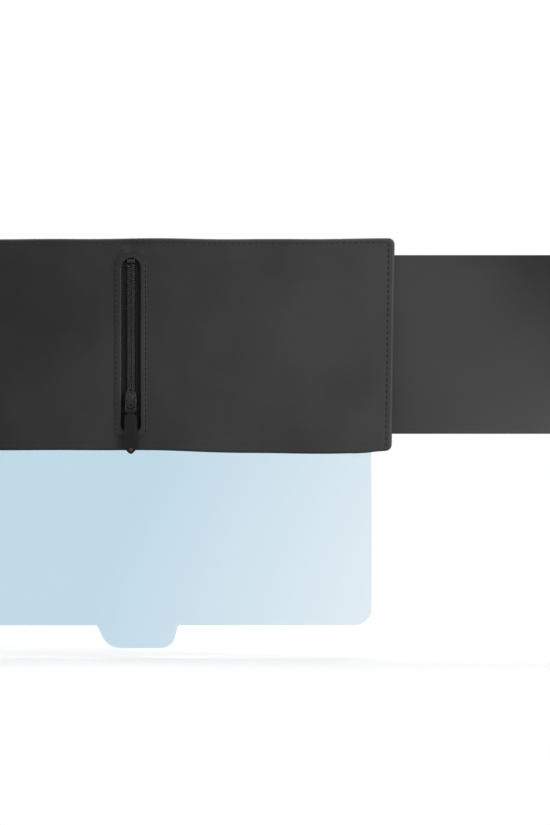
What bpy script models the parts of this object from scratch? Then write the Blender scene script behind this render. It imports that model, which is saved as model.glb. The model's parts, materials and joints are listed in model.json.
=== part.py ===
"""A slim black sleeve that straps to a car's sun visor.

A tinted pane slides down out of it, an opaque shade slides out to the right, and a zipped pocket is
in its front. Metres, +X to the right, +Y to the rear, +Z up. The origin is the centre of the grip
pad's rear face, which lies against the visor. The object is shown with both panels drawn out.
"""

import math

import bmesh
import bpy
from mathutils import Matrix, Vector

# ---- Sleeve ----
BODY_W = 0.412
BODY_H = 0.166
CORNER_R = 0.005
COVER_T = 0.0012  # front leather, and the walls that it turns back into
BACK_T = 0.0010  # rear leather
BOARD_T = 0.0010  # each of the three stiffener boards
GRIP_T = 0.0008  # rubber pad between the straps, which lies against the visor
GRIP_W = 0.170
GRIP_H = 0.130
SEAT = 0.0003  # left between two pieces that lie on each other

# ---- Panels that slide ----
PANE_T = 0.0012
PANE_SIDE_MARGIN = 0.017  # from the sleeve's side to the pane's
PANE_HEADROOM = 0.0067  # left over the pane when it is pushed right up
PANE_PROUD = 0.0009  # how far the pane's edge stays below the sleeve when it is up
PANE_CORNER_R = 0.011
SHADE_T = 0.0012
SHADE_LENGTH = 0.300
SHADE_END_MARGIN = 0.0127  # from the sleeve's top or bottom to the shade's
SHADE_PROUD = 0.0017
SHADE_CORNER_R = 0.011
TAB_W = 0.0662  # pull tab on each panel, across its root
TAB_FLAT_W = 0.0443
TAB_DROP = 0.018
TAB_SKEW = 0.0038  # how far its end sits off the middle of its root
TAB_ROOT_R = 0.004
TAB_END_R = 0.010
PANE_TAB_X = 0.004
LUG_LENGTH = 0.010  # ears that catch on the rails' stops
LUG_REACH = 0.004
STOP_LENGTH = 0.0085
SLIDE_SIDE_GAP = 0.0004
SLIDE_FACE_GAP = 0.0003
SLOT_LIP = 0.0005  # clearance all round a panel where it leaves the sleeve
FELT_T = 0.0004
FELT_W = 0.007

# ---- Zipped pocket ----
WINDOW_W = 0.0157
WINDOW_END_MARGIN = 0.015  # from the sleeve's top or bottom edge to the window
WINDOW_FOOT_R = 0.0045
FACING_BORDER = 0.0047
FACING_T = 0.0004
LINING_T = 0.0004
POCKET_W = 0.180
POCKET_LIP = 0.005  # how far the pocket runs past each end of the window
POCKET_ROOM = 0.0012
TAPE_W = 0.0155
TAPE_T = 0.0005
TAPE_OVERRUN = 0.004
CHAIN_HALF_GAP = 0.0006
COIL_W = 0.0025
COIL_T = 0.0016
COIL_PITCH = 0.0020
COIL_TOOTH = 0.0009
ZIP_GAP = 0.0002  # running clearance between slider and chain
STOP_CLIP_L = 0.003
CHAIN_HEAD_GAP = 0.004  # window's top end to the chain's
PULL_ROOM = 0.018  # window's foot to the chain's closed end

# ---- Slider and pull ----
SLIDER_W = 0.0100
SLIDER_TAIL_W = 0.0078
SLIDER_L = 0.0130
SLIDER_FOOT_R = 0.0040
SLIDER_HEAD_R = 0.0020
SLIDER_PLATE_T = 0.0009
SLIDER_NECK_L = 0.0030
BRIDGE_W = 0.0030
BRIDGE_WALL = 0.0008
LINK_WIRE_R = 0.0006
LINK_PLAY = 0.0005  # round the wire in the bridge, and from the wire to the pull's sides
LINK_BEND = 0.0003  # inside radius of the wire's corners
PULL_PLAY = 0.0004  # round the wire in the pull's knuckle
PULL_WALL = 0.0009
PULL_HEAD_GAP = 0.0011  # slider's foot to the pull's head
PULL_NECK_W = 0.0056
PULL_W_TOP = 0.0094
PULL_W_LOW = 0.0116
PULL_T = 0.0018
PULL_LENGTH = 0.0345  # knuckle's centre to the tip
RIVET_FROM_TIP = 0.0045
RIVET_HEAD_R = 0.0014
RIVET_HEAD_T = 0.0004
RIVET_SHANK_R = 0.0007

# ---- Straps round the visor ----
STRAP_W = 0.038
STRAP_T = 0.0015
STRAP_DEPTH = 0.0225  # grip pad's rear face to the strap's far side
STRAP_CENTRE_X = 0.125
STRAP_BEND_R = 0.005
STRAP_INSET = 0.0003  # keeps the loop inside the sleeve's outline
STRAP_FLAP_L = 0.036
ANCHOR_T = 0.0010
ANCHOR_W = 0.044
ANCHOR_H = 0.020
PAD_T = 0.0010
PAD_H = 0.028
PAD_W = 0.034
PAD_GAP = 0.0002

ARC_STEPS = 6
ROUND_STEPS = 16

# ---- Layers, from the rear face forwards (forwards is -Y) ----
BACK_REAR = -GRIP_T - SEAT
BACK_FRONT = BACK_REAR - BACK_T
REAR_BOARD_REAR = BACK_FRONT - SEAT
REAR_BOARD_FRONT = REAR_BOARD_REAR - BOARD_T
FELT_ROOM = SEAT + FELT_T + SLIDE_FACE_GAP
PANE_REAR = REAR_BOARD_FRONT - FELT_ROOM
PANE_FRONT = PANE_REAR - PANE_T
MIDDLE_BOARD_REAR = PANE_FRONT - SLIDE_FACE_GAP
MIDDLE_BOARD_FRONT = MIDDLE_BOARD_REAR - BOARD_T
SHADE_REAR = MIDDLE_BOARD_FRONT - FELT_ROOM
SHADE_FRONT = SHADE_REAR - SHADE_T
FRONT_BOARD_REAR = SHADE_FRONT - SLIDE_FACE_GAP
FRONT_BOARD_FRONT = FRONT_BOARD_REAR - BOARD_T
POCKET_REAR = FRONT_BOARD_FRONT - SEAT
POCKET_FRONT = POCKET_REAR - 2 * LINING_T - POCKET_ROOM
TAPE_REAR = POCKET_FRONT - ZIP_GAP
TAPE_FRONT = TAPE_REAR - TAPE_T
COVER_REAR = TAPE_FRONT - SEAT
COVER_FRONT = COVER_REAR - COVER_T
FACING_REAR = COVER_FRONT - ZIP_GAP
COIL_REAR = TAPE_FRONT - ZIP_GAP
COIL_FRONT = COIL_REAR - COIL_T
SLIDER_TOP_REAR = COIL_FRONT - ZIP_GAP
SLIDER_TOP_FRONT = SLIDER_TOP_REAR - SLIDER_PLATE_T
SLIDER_SOLE_FRONT = TAPE_REAR + ZIP_GAP
SLIDER_SOLE_REAR = SLIDER_SOLE_FRONT + SLIDER_PLATE_T

# ---- Sizes that follow from the ones above ----
HALF_W = BODY_W / 2
HALF_H = BODY_H / 2
INNER_HALF_W = HALF_W - COVER_T - SEAT
INNER_HALF_H = HALF_H - COVER_T - SEAT
PANE_HALF_W = HALF_W - PANE_SIDE_MARGIN
PANE_TOP = -INNER_HALF_H + STOP_LENGTH + SEAT + LUG_LENGTH
PANE_TRAVEL = INNER_HALF_H - PANE_HEADROOM - PANE_TOP
PANE_FOOT = -HALF_H - PANE_PROUD - PANE_TRAVEL
SHADE_HALF_H = HALF_H - SHADE_END_MARGIN
SHADE_INNER_END = INNER_HALF_W - STOP_LENGTH - SEAT - LUG_LENGTH
SHADE_OUTER_END = SHADE_INNER_END + SHADE_LENGTH
SHADE_TRAVEL = SHADE_OUTER_END - HALF_W - SHADE_PROUD
WINDOW_HALF_H = HALF_H - WINDOW_END_MARGIN
CHAIN_LOW = -WINDOW_HALF_H + PULL_ROOM
CHAIN_HIGH = WINDOW_HALF_H - CHAIN_HEAD_GAP
SLIDER_LOW = CHAIN_LOW + SEAT
SLIDER_MIDDLE = SLIDER_LOW + SLIDER_L / 2
ZIP_TRAVEL = CHAIN_HIGH - SEAT - SLIDER_LOW - SLIDER_L
SLIDER_NECK_W = 2 * (CHAIN_HALF_GAP - SEAT)
BRIDGE_HOLE_R = LINK_WIRE_R + LINK_PLAY
PULL_HOLE_R = LINK_WIRE_R + PULL_PLAY
PULL_KNUCKLE_R = PULL_HOLE_R + PULL_WALL
LINK_W = PULL_NECK_W + 2 * (LINK_WIRE_R + LINK_PLAY)
LINK_L = SLIDER_L / 2 + PULL_HEAD_GAP + PULL_KNUCKLE_R
LINK_PIVOT_Y = SLIDER_TOP_FRONT - BRIDGE_HOLE_R
LINK_PIVOT_Z = SLIDER_MIDDLE
PULL_PIVOT_Z = LINK_PIVOT_Z - LINK_L
STRAP_TOP = HALF_H - STRAP_INSET
STRAP_PIVOT_Y = BACK_REAR + ANCHOR_T
STRAP_PIVOT_Z = STRAP_TOP - STRAP_T / 2
PAD_SEAT = BACK_REAR + SEAT
LOOP_PAD_REAR = PAD_SEAT + PAD_T
HOOK_PAD_FRONT = LOOP_PAD_REAR + SEAT
HOOK_PAD_REAR = HOOK_PAD_FRONT + PAD_T
FLAP_FRONT = HOOK_PAD_REAR + PAD_GAP


# ---- Outlines: lists of (across, up) points, anticlockwise ----
def arc(centre, radius, start, end, steps=ARC_STEPS):
    """Points on a circle's arc, from one angle to another, in degrees."""
    angles = [math.radians(start + (end - start) * i / steps) for i in range(steps + 1)]
    return [(centre[0] + radius * math.cos(a), centre[1] + radius * math.sin(a)) for a in angles]


def rectangle(left, right, low, high, radius=0.0, foot_radius=None):
    """A rectangle with round corners. foot_radius is for its two lower corners."""
    foot = radius if foot_radius is None else foot_radius
    if radius == 0 and foot == 0:
        return [(left, low), (right, low), (right, high), (left, high)]
    return [
        *arc((left + foot, low + foot), foot, 180, 270),
        *arc((right - foot, low + foot), foot, 270, 360),
        *arc((right - radius, high - radius), radius, 0, 90),
        *arc((left + radius, high - radius), radius, 90, 180),
    ]


def rounded(corners, radii):
    """A closed outline through the corners, each rounded with its own radius."""
    points = []
    for i, (corner, radius) in enumerate(zip(corners, radii)):
        here = Vector(corner)
        back = Vector(corners[i - 1]) - here
        ahead = Vector(corners[(i + 1) % len(corners)]) - here
        turn = back.angle(ahead)
        reach = min(radius / math.tan(turn / 2), 0.49 * back.length, 0.49 * ahead.length)
        if reach <= 0:
            points.append(corner)
            continue
        start = here + back.normalized() * reach
        end = here + ahead.normalized() * reach
        for step in range(ARC_STEPS + 1):
            t = step / ARC_STEPS
            p = start * (1 - t) ** 2 + here * 2 * t * (1 - t) + end * t**2
            points.append((p.x, p.y))
    return points


def offset_band(path, thickness):
    """The outline of a band of that thickness along an open path."""
    sides = ([], [])
    for i, point in enumerate(path):
        before = Vector(path[max(i - 1, 0)])
        after = Vector(path[min(i + 1, len(path) - 1)])
        along = (after - before).normalized()
        normal = Vector((-along.y, along.x)) * thickness / 2
        sides[0].append(tuple(Vector(point) + normal))
        sides[1].append(tuple(Vector(point) - normal))
    return sides[1] + sides[0][::-1]


def panel_with_tab(length, half_height, corner_radius, tab_at):
    """A panel drawn as if it slides out downwards: its tab at the foot and its lugs at the head.

    The head is at 0 and the foot at -length. half_height is half its size across.
    """
    foot = -length
    tab_left = tab_at - TAB_W / 2
    tab_right = tab_at + TAB_W / 2
    flat_left = tab_at + TAB_SKEW - TAB_FLAT_W / 2
    flat_right = tab_at + TAB_SKEW + TAB_FLAT_W / 2
    corners = [
        (-half_height, foot),
        (tab_left, foot),
        (flat_left, foot - TAB_DROP),
        (flat_right, foot - TAB_DROP),
        (tab_right, foot),
        (half_height, foot),
        (half_height, -LUG_LENGTH),
        (half_height + LUG_REACH, -LUG_LENGTH),
        (half_height + LUG_REACH, 0.0),
        (-half_height - LUG_REACH, 0.0),
        (-half_height - LUG_REACH, -LUG_LENGTH),
        (-half_height, -LUG_LENGTH),
    ]
    tab_radii = [TAB_ROOT_R, TAB_END_R, TAB_END_R, TAB_ROOT_R]
    radii = [corner_radius, *tab_radii, corner_radius, 0, 0, 0, 0, 0, 0]
    return rounded(corners, radii)


def placed(outline, dx=0.0, dz=0.0):
    """The outline, moved."""
    return [(u + dx, v + dz) for u, v in outline]


def without_repeats(outline):
    """The outline, without points that lie on the one before."""
    return [
        point
        for before, point in zip(outline[-1:] + outline[:-1], outline)
        if math.dist(before, point) > 1e-7
    ]


# ---- Making objects ----
def clear_scene():
    """Removes whatever objects the file starts with."""
    for existing in list(bpy.data.objects):
        bpy.data.objects.remove(existing)


def material(name, colour, roughness, metallic=0.0, alpha=1.0):
    """A Principled material."""
    made = bpy.data.materials.new(name)
    made.use_nodes = True
    shader = made.node_tree.nodes["Principled BSDF"]
    shader.inputs["Base Color"].default_value = (*colour, 1.0)
    shader.inputs["Roughness"].default_value = roughness
    shader.inputs["Metallic"].default_value = metallic
    shader.inputs["Alpha"].default_value = alpha
    made.diffuse_color = (*colour, alpha)
    return made


def finish_mesh(name, bm, surface, smooth_angle=40):
    """Turns a bmesh into a named object with its material."""
    bmesh.ops.recalc_face_normals(bm, faces=bm.faces)
    mesh = bpy.data.meshes.new(name)
    bm.to_mesh(mesh)
    bm.free()
    if surface:
        mesh.materials.append(surface)
    mesh.shade_smooth()
    mesh.set_sharp_from_angle(angle=math.radians(smooth_angle))
    made = bpy.data.objects.new(name, mesh)
    bpy.context.scene.collection.objects.link(made)
    return made


def extruded(name, outline, low, high, surface, holes=(), along="Y"):
    """An outline pulled through a depth. Along Y it is (x, z) points, and along X (y, z)."""
    bm = bmesh.new()
    for loop in [outline, *holes]:
        points = [(u, low, v) if along == "Y" else (low, u, v) for u, v in without_repeats(loop)]
        verts = [bm.verts.new(point) for point in points]
        if not holes:
            bm.faces.new(verts)
            break
        for first, second in zip(verts, verts[1:] + verts[:1]):
            bm.edges.new((first, second))
    if holes:
        bmesh.ops.triangle_fill(bm, use_beauty=True, edges=bm.edges[:])
    pulled = bmesh.ops.extrude_face_region(bm, geom=bm.faces[:])
    moved = [v for v in pulled["geom"] if isinstance(v, bmesh.types.BMVert)]
    depth = high - low
    bmesh.ops.translate(bm, verts=moved, vec=(0, depth, 0) if along == "Y" else (depth, 0, 0))
    return finish_mesh(name, bm, surface)


def cutter(name, outline, low, high, along="Y"):
    """A helper solid that only cuts others."""
    helper = extruded(name, outline, low, high, None, along=along)
    helper.hide_render = True
    helper.display_type = "WIRE"
    return helper


def cut(body, *helpers):
    """Takes each helper's shape out of the body."""
    for helper in helpers:
        boolean = body.modifiers.new("cut " + helper.name, "BOOLEAN")
        boolean.operation = "DIFFERENCE"
        boolean.object = helper


def add(body, *helpers):
    """Joins each helper's shape to the body."""
    for helper in helpers:
        boolean = body.modifiers.new("add " + helper.name, "BOOLEAN")
        boolean.operation = "UNION"
        boolean.object = helper


def empty(name, location):
    """An empty on a joint's axis."""
    made = bpy.data.objects.new(name, None)
    made.location = location
    made.empty_display_size = 0.02
    bpy.context.scene.collection.objects.link(made)
    return made


def hang_on(parent, *pieces):
    """Parents pieces, and leaves them where they are."""
    bpy.context.view_layer.update()
    for piece in pieces:
        piece.parent = parent
        piece.matrix_parent_inverse = parent.matrix_world.inverted()


# ---- Sleeve ----
def window_outline(grow=0.0):
    """The zip window, with an arched head and a squarer foot."""
    half = WINDOW_W / 2 + grow
    reach = WINDOW_HALF_H + grow
    return rectangle(-half, half, -reach, reach, half, WINDOW_FOOT_R + grow)


def front_cover(leather):
    """The front leather, turned back along every edge to meet the rear leather."""
    made = extruded(
        "front_cover",
        rectangle(-HALF_W, HALF_W, -HALF_H, HALF_H, CORNER_R),
        COVER_FRONT,
        REAR_BOARD_REAR,
        leather,
    )
    beyond = 0.002
    inner_r = CORNER_R - COVER_T
    hollow_w = HALF_W - COVER_T
    hollow_h = HALF_H - COVER_T
    hollow = rectangle(-hollow_w, hollow_w, -hollow_h, hollow_h, inner_r)
    pane_slot = rectangle(
        -PANE_HALF_W - SLOT_LIP, PANE_HALF_W + SLOT_LIP, -HALF_H - beyond, -hollow_h + beyond
    )
    shade_slot = rectangle(
        hollow_w - beyond, HALF_W + beyond, -SHADE_HALF_H - SLOT_LIP, SHADE_HALF_H + SLOT_LIP
    )
    cut(
        made,
        cutter("cover_hollow", hollow, COVER_REAR, REAR_BOARD_REAR + beyond),
        cutter("cover_window", window_outline(), COVER_FRONT - beyond, COVER_REAR + beyond),
        cutter("cover_pane_slot", pane_slot, PANE_FRONT - SLOT_LIP, PANE_REAR + SLOT_LIP),
        cutter("cover_shade_slot", shade_slot, SHADE_FRONT - SLOT_LIP, SHADE_REAR + SLOT_LIP),
    )
    return made


def back_cover(leather):
    """The rear leather, sewn to the front one round its edge."""
    outline = rectangle(-HALF_W, HALF_W, -HALF_H, HALF_H, CORNER_R)
    return extruded("back_cover", outline, BACK_FRONT, BACK_REAR, leather)


def grip_pad(rubber):
    """The ribbed pad that stops the sleeve from slipping on the visor."""
    outline = rectangle(-GRIP_W / 2, GRIP_W / 2, -GRIP_H / 2, GRIP_H / 2, CORNER_R)
    return extruded("grip_pad", outline, -GRIP_T, 0.0, rubber)


def board(name, front, rear, surface):
    """A stiffener that fills the sleeve's inside."""
    outline = rectangle(-INNER_HALF_W, INNER_HALF_W, -INNER_HALF_H, INNER_HALF_H, CORNER_R - COVER_T)
    return extruded(name, outline, front, rear, surface)


def pane_rail(name, side, surface):
    """A channel side for the pane, with a stop at its foot. side is -1 for left and 1 for right."""
    groove = PANE_HALF_W + LUG_REACH + SLIDE_SIDE_GAP
    stop = PANE_HALF_W + SLIDE_SIDE_GAP
    stop_top = -INNER_HALF_H + STOP_LENGTH
    outline = [
        (stop, -INNER_HALF_H),
        (INNER_HALF_W, -INNER_HALF_H),
        (INNER_HALF_W, INNER_HALF_H),
        (groove, INNER_HALF_H),
        (groove, stop_top),
        (stop, stop_top),
    ]
    outline = rounded([(side * x, z) for x, z in outline], [0, CORNER_R, CORNER_R, 0, 0, 0])
    front = MIDDLE_BOARD_REAR + SLIDE_FACE_GAP
    return extruded(name, outline, front, REAR_BOARD_FRONT - SEAT, surface)


def shade_rail(name, side, surface):
    """A channel side for the shade, with a stop at its right end. side is 1 for top, -1 for foot."""
    groove = SHADE_HALF_H + LUG_REACH + SLIDE_SIDE_GAP
    stop = SHADE_HALF_H + SLIDE_SIDE_GAP
    stop_left = INNER_HALF_W - STOP_LENGTH
    outline = [
        (-INNER_HALF_W, groove),
        (stop_left, groove),
        (stop_left, stop),
        (INNER_HALF_W, stop),
        (INNER_HALF_W, INNER_HALF_H),
        (-INNER_HALF_W, INNER_HALF_H),
    ]
    outline = rounded([(x, side * z) for x, z in outline], [0, 0, 0, 0, CORNER_R, CORNER_R])
    front = FRONT_BOARD_REAR + SLIDE_FACE_GAP
    return extruded(name, outline, front, MIDDLE_BOARD_FRONT - SEAT, surface)


def felts(felt):
    """Strips that rub on each panel at its mouth, so that it stays where it is put."""
    pane_strip = rectangle(
        -PANE_HALF_W, PANE_HALF_W, -INNER_HALF_H, -INNER_HALF_H + FELT_W
    )
    shade_strip = rectangle(INNER_HALF_W - FELT_W, INNER_HALF_W, -SHADE_HALF_H, SHADE_HALF_H)
    return [
        extruded("pane_felt", pane_strip, REAR_BOARD_FRONT - SEAT - FELT_T, REAR_BOARD_FRONT - SEAT, felt),
        extruded("shade_felt", shade_strip, MIDDLE_BOARD_FRONT - SEAT - FELT_T, MIDDLE_BOARD_FRONT - SEAT, felt),
    ]


def foam_frame(foam):
    """The padding behind the front leather, cut out for the pocket."""
    outline = rectangle(-INNER_HALF_W, INNER_HALF_W, -INNER_HALF_H, INNER_HALF_H, CORNER_R - COVER_T)
    half_w = POCKET_W / 2 + SEAT
    half_h = WINDOW_HALF_H + POCKET_LIP + SEAT
    hole = rectangle(-half_w, half_w, -half_h, half_h)
    return extruded("foam_frame", outline, COVER_REAR + SEAT, POCKET_REAR, foam, holes=[hole])


# ---- Zipped pocket ----
def pocket_lining(lining):
    """A flat bag behind the window, open only at the zip."""
    half_w = POCKET_W / 2
    half_h = WINDOW_HALF_H + POCKET_LIP
    mouth = rectangle(
        -WINDOW_W / 2, WINDOW_W / 2, -WINDOW_HALF_H, WINDOW_HALF_H
    )
    inside = rectangle(-half_w + LINING_T, half_w - LINING_T, -half_h + LINING_T, half_h - LINING_T)
    made = extruded("pocket_lining", rectangle(-half_w, half_w, -half_h, half_h), POCKET_FRONT, POCKET_REAR, lining)
    beyond = 0.001
    cut(
        made,
        cutter("pocket_inside", inside, POCKET_FRONT + LINING_T, POCKET_REAR - LINING_T),
        cutter("pocket_mouth", mouth, POCKET_FRONT - beyond, POCKET_FRONT + LINING_T + POCKET_ROOM / 2),
    )
    return made


def zip_facing(leather):
    """The leather frame sewn round the window."""
    return extruded(
        "zip_facing",
        window_outline(FACING_BORDER),
        FACING_REAR - FACING_T,
        FACING_REAR,
        leather,
        holes=[window_outline()],
    )


def zip_tape(name, side, cloth):
    """One woven tape, with its sewn edge behind the leather."""
    ends = WINDOW_HALF_H + TAPE_OVERRUN
    near = side * CHAIN_HALF_GAP
    far = side * (CHAIN_HALF_GAP + TAPE_W)
    outline = rectangle(min(near, far), max(near, far), -ends, ends)
    return extruded(name, outline, TAPE_FRONT, TAPE_REAR, cloth)


def zip_coil(name, side, plastic):
    """One row of teeth, on the edge of its tape. The two rows are half a pitch apart."""
    low = CHAIN_LOW + SEAT
    high = CHAIN_HIGH - SEAT
    root = CHAIN_HALF_GAP + COIL_TOOTH
    count = int((high - low) / COIL_PITCH) - 1
    shift = 0.0 if side < 0 else COIL_PITCH / 2
    outline = [(CHAIN_HALF_GAP + COIL_W, low), (CHAIN_HALF_GAP + COIL_W, high), (root, high)]
    for i in reversed(range(count)):
        foot = low + shift + (i + 0.25) * COIL_PITCH
        outline += [
            (root, foot + COIL_PITCH / 2),
            (CHAIN_HALF_GAP, foot + COIL_PITCH / 2),
            (CHAIN_HALF_GAP, foot),
            (root, foot),
        ]
    outline.append((root, low))
    return extruded(name, [(side * x, z) for x, z in outline], COIL_FRONT, COIL_REAR, plastic)


def zip_stops(metal):
    """A box at the chain's head, and a clip on each tape at its closed end."""
    out = CHAIN_HALF_GAP + COIL_W
    box = rectangle(-out, out, CHAIN_HIGH, CHAIN_HIGH + STOP_CLIP_L)
    left = rectangle(-out, -CHAIN_HALF_GAP, CHAIN_LOW - STOP_CLIP_L, CHAIN_LOW)
    right = rectangle(CHAIN_HALF_GAP, out, CHAIN_LOW - STOP_CLIP_L, CHAIN_LOW)
    return [
        extruded("zip_box_stop", box, COIL_FRONT, COIL_REAR, metal),
        extruded("zip_end_stop_left", left, COIL_FRONT, COIL_REAR, metal),
        extruded("zip_end_stop_right", right, COIL_FRONT, COIL_REAR, metal),
    ]


# ---- Slider, link and pull ----
def slider_plate_outline():
    """Wide and round at the end that meets the open chain, narrower at the other."""
    foot = SLIDER_W / 2
    head = SLIDER_TAIL_W / 2
    low = SLIDER_LOW
    high = SLIDER_LOW + SLIDER_L
    corners = [(-foot, low), (foot, low), (head, high), (-head, high)]
    return rounded(corners, [SLIDER_FOOT_R, SLIDER_FOOT_R, SLIDER_HEAD_R, SLIDER_HEAD_R])


def zip_slider(metal):
    """Two plates joined by a neck that runs between the two halves of the chain."""
    made = extruded("zip_slider", slider_plate_outline(), SLIDER_TOP_FRONT, SLIDER_TOP_REAR, metal)
    neck = rectangle(-SLIDER_NECK_W / 2, SLIDER_NECK_W / 2, SLIDER_LOW + ZIP_GAP, SLIDER_LOW + SLIDER_NECK_L)
    bite = SLIDER_PLATE_T / 2
    centre = (LINK_PIVOT_Y, LINK_PIVOT_Z)
    outer = BRIDGE_HOLE_R + BRIDGE_WALL
    arch = [
        *arc(centre, outer, 90, 270, ROUND_STEPS // 2),
        (SLIDER_TOP_FRONT + bite, LINK_PIVOT_Z - outer),
        (SLIDER_TOP_FRONT + bite, LINK_PIVOT_Z + outer),
    ]
    eye = arc(centre, BRIDGE_HOLE_R, 0, 360 - 360 / ROUND_STEPS, ROUND_STEPS - 1)
    beyond = 0.001
    add(
        made,
        cutter("slider_neck", neck, SLIDER_TOP_REAR - bite, SLIDER_SOLE_FRONT + bite),
        cutter("slider_sole", slider_plate_outline(), SLIDER_SOLE_FRONT, SLIDER_SOLE_REAR),
        cutter("slider_bridge", arch, -BRIDGE_W / 2, BRIDGE_W / 2, along="X"),
    )
    cut(made, cutter("slider_eye", eye, -BRIDGE_W / 2 - beyond, BRIDGE_W / 2 + beyond, along="X"))
    return made


def pull_link(metal):
    """A wire loop through the slider's bridge and the pull's knuckle."""
    half = LINK_W / 2
    low = PULL_PIVOT_Z
    high = LINK_PIVOT_Z
    loop = rectangle(-half, half, low, high, LINK_WIRE_R + LINK_BEND)
    curve = bpy.data.curves.new("pull_link", "CURVE")
    curve.dimensions = "3D"
    curve.bevel_depth = LINK_WIRE_R
    curve.bevel_resolution = 2
    spline = curve.splines.new("POLY")
    spline.points.add(len(loop) - 1)
    for point, (x, z) in zip(spline.points, loop):
        point.co = (x, LINK_PIVOT_Y, z, 1.0)
    spline.use_cyclic_u = True
    curve.materials.append(metal)
    made = bpy.data.objects.new("pull_link", curve)
    bpy.context.scene.collection.objects.link(made)
    return made


def leather_pull(leather):
    """A tapered strip with a pointed foot, folded round the link at its head."""
    neck = PULL_NECK_W / 2
    top = PULL_PIVOT_Z - PULL_KNUCKLE_R - LINK_WIRE_R
    tip = PULL_PIVOT_Z - PULL_LENGTH
    point_start = tip + PULL_W_LOW * 0.55
    corners = [
        (-neck, PULL_PIVOT_Z),
        (-neck, top),
        (-PULL_W_TOP / 2, top - 0.001),
        (-PULL_W_LOW / 2, point_start),
        (0.0, tip),
        (PULL_W_LOW / 2, point_start),
        (PULL_W_TOP / 2, top - 0.001),
        (neck, top),
        (neck, PULL_PIVOT_Z),
    ]
    radii = [0, 0.0004, 0.0012, 0.004, 0.003, 0.004, 0.0012, 0.0004, 0]
    made = extruded(
        "leather_pull", rounded(corners, radii), LINK_PIVOT_Y - PULL_T / 2, LINK_PIVOT_Y + PULL_T / 2, leather
    )
    centre = (LINK_PIVOT_Y, PULL_PIVOT_Z)
    knuckle = arc(centre, PULL_KNUCKLE_R, 0, 360 - 360 / ROUND_STEPS, ROUND_STEPS - 1)
    hole = arc(centre, PULL_HOLE_R, 0, 360 - 360 / ROUND_STEPS, ROUND_STEPS - 1)
    shank = arc((0.0, tip + RIVET_FROM_TIP), RIVET_SHANK_R + ZIP_GAP, 0, 360 - 360 / ROUND_STEPS, ROUND_STEPS - 1)
    beyond = 0.001
    add(made, cutter("pull_knuckle", knuckle, -neck, neck, along="X"))
    cut(
        made,
        cutter("pull_hole", hole, -neck - beyond, neck + beyond, along="X"),
        cutter("pull_rivet_hole", shank, LINK_PIVOT_Y - PULL_T, LINK_PIVOT_Y + PULL_T),
    )
    return made


def pull_rivet(metal):
    """A two-headed rivet through the pull's foot."""
    half = PULL_T / 2 + ZIP_GAP
    profile = [
        (0.0, half + RIVET_HEAD_T),
        (RIVET_HEAD_R * 0.7, half + RIVET_HEAD_T),
        (RIVET_HEAD_R, half + RIVET_HEAD_T / 2),
        (RIVET_HEAD_R, half),
        (RIVET_SHANK_R, half),
        (RIVET_SHANK_R, -half),
        (RIVET_HEAD_R, -half),
        (RIVET_HEAD_R, -half - RIVET_HEAD_T / 2),
        (RIVET_HEAD_R * 0.7, -half - RIVET_HEAD_T),
        (0.0, -half - RIVET_HEAD_T),
    ]
    bm = bmesh.new()
    verts = [bm.verts.new((r, -y, 0.0)) for r, y in profile]
    edges = [bm.edges.new(pair) for pair in zip(verts, verts[1:])]
    bmesh.ops.spin(
        bm, geom=verts + edges, axis=(0, 1, 0), cent=(0, 0, 0), steps=ROUND_STEPS, angle=2 * math.pi
    )
    bmesh.ops.remove_doubles(bm, verts=bm.verts, dist=1e-6)
    middle = Matrix.Translation((0.0, LINK_PIVOT_Y, PULL_PIVOT_Z - PULL_LENGTH + RIVET_FROM_TIP))
    bmesh.ops.transform(bm, matrix=middle, verts=bm.verts)
    return finish_mesh("pull_rivet", bm, metal)


# ---- Panels ----
def tinted_pane(tint):
    """The see-through panel, drawn right down."""
    length = PANE_TOP - PANE_FOOT
    outline = panel_with_tab(length, PANE_HALF_W, PANE_CORNER_R, PANE_TAB_X)
    return extruded("tinted_pane", placed(outline, dz=PANE_TOP), PANE_FRONT, PANE_REAR, tint)


def side_shade(plastic):
    """The opaque panel, drawn right out."""
    outline = panel_with_tab(SHADE_LENGTH, SHADE_HALF_H, SHADE_CORNER_R, 0.0)
    turned = [(-v, u) for u, v in outline]
    return extruded("side_shade", placed(turned, dx=SHADE_INNER_END), SHADE_FRONT, SHADE_REAR, plastic)


# ---- Straps ----
def strap(name, centre_x, elastic):
    """An elastic loop: back over the visor, down behind it, and up again to its fastening."""
    half = STRAP_T / 2
    top = STRAP_PIVOT_Z
    rear = STRAP_DEPTH - half
    foot = -STRAP_TOP + half
    front = FLAP_FRONT + half
    corners = [(STRAP_PIVOT_Y + SEAT, top), (rear, top), (rear, foot), (front, foot), (front, foot + STRAP_FLAP_L)]
    path = rounded_path(corners, STRAP_BEND_R, STRAP_T)
    left = centre_x - STRAP_W / 2
    return extruded(name, offset_band(path, STRAP_T), left, left + STRAP_W, elastic, along="X")


def rounded_path(corners, radius, least):
    """An open path through the corners, rounded at each inner one."""
    path = [corners[0]]
    for before, corner, after in zip(corners, corners[1:], corners[2:]):
        here = Vector(corner)
        back = Vector(before) - here
        ahead = Vector(after) - here
        reach = max(least, min(radius, 0.45 * back.length, 0.45 * ahead.length))
        start = here + back.normalized() * reach
        end = here + ahead.normalized() * reach
        middle = start + end - here
        for step in range(ARC_STEPS + 1):
            turn = math.radians(90 * step / ARC_STEPS)
            p = middle + (start - middle) * math.cos(turn) + (end - middle) * math.sin(turn)
            path.append((p.x, p.y))
    path.append(corners[-1])
    return path


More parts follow.
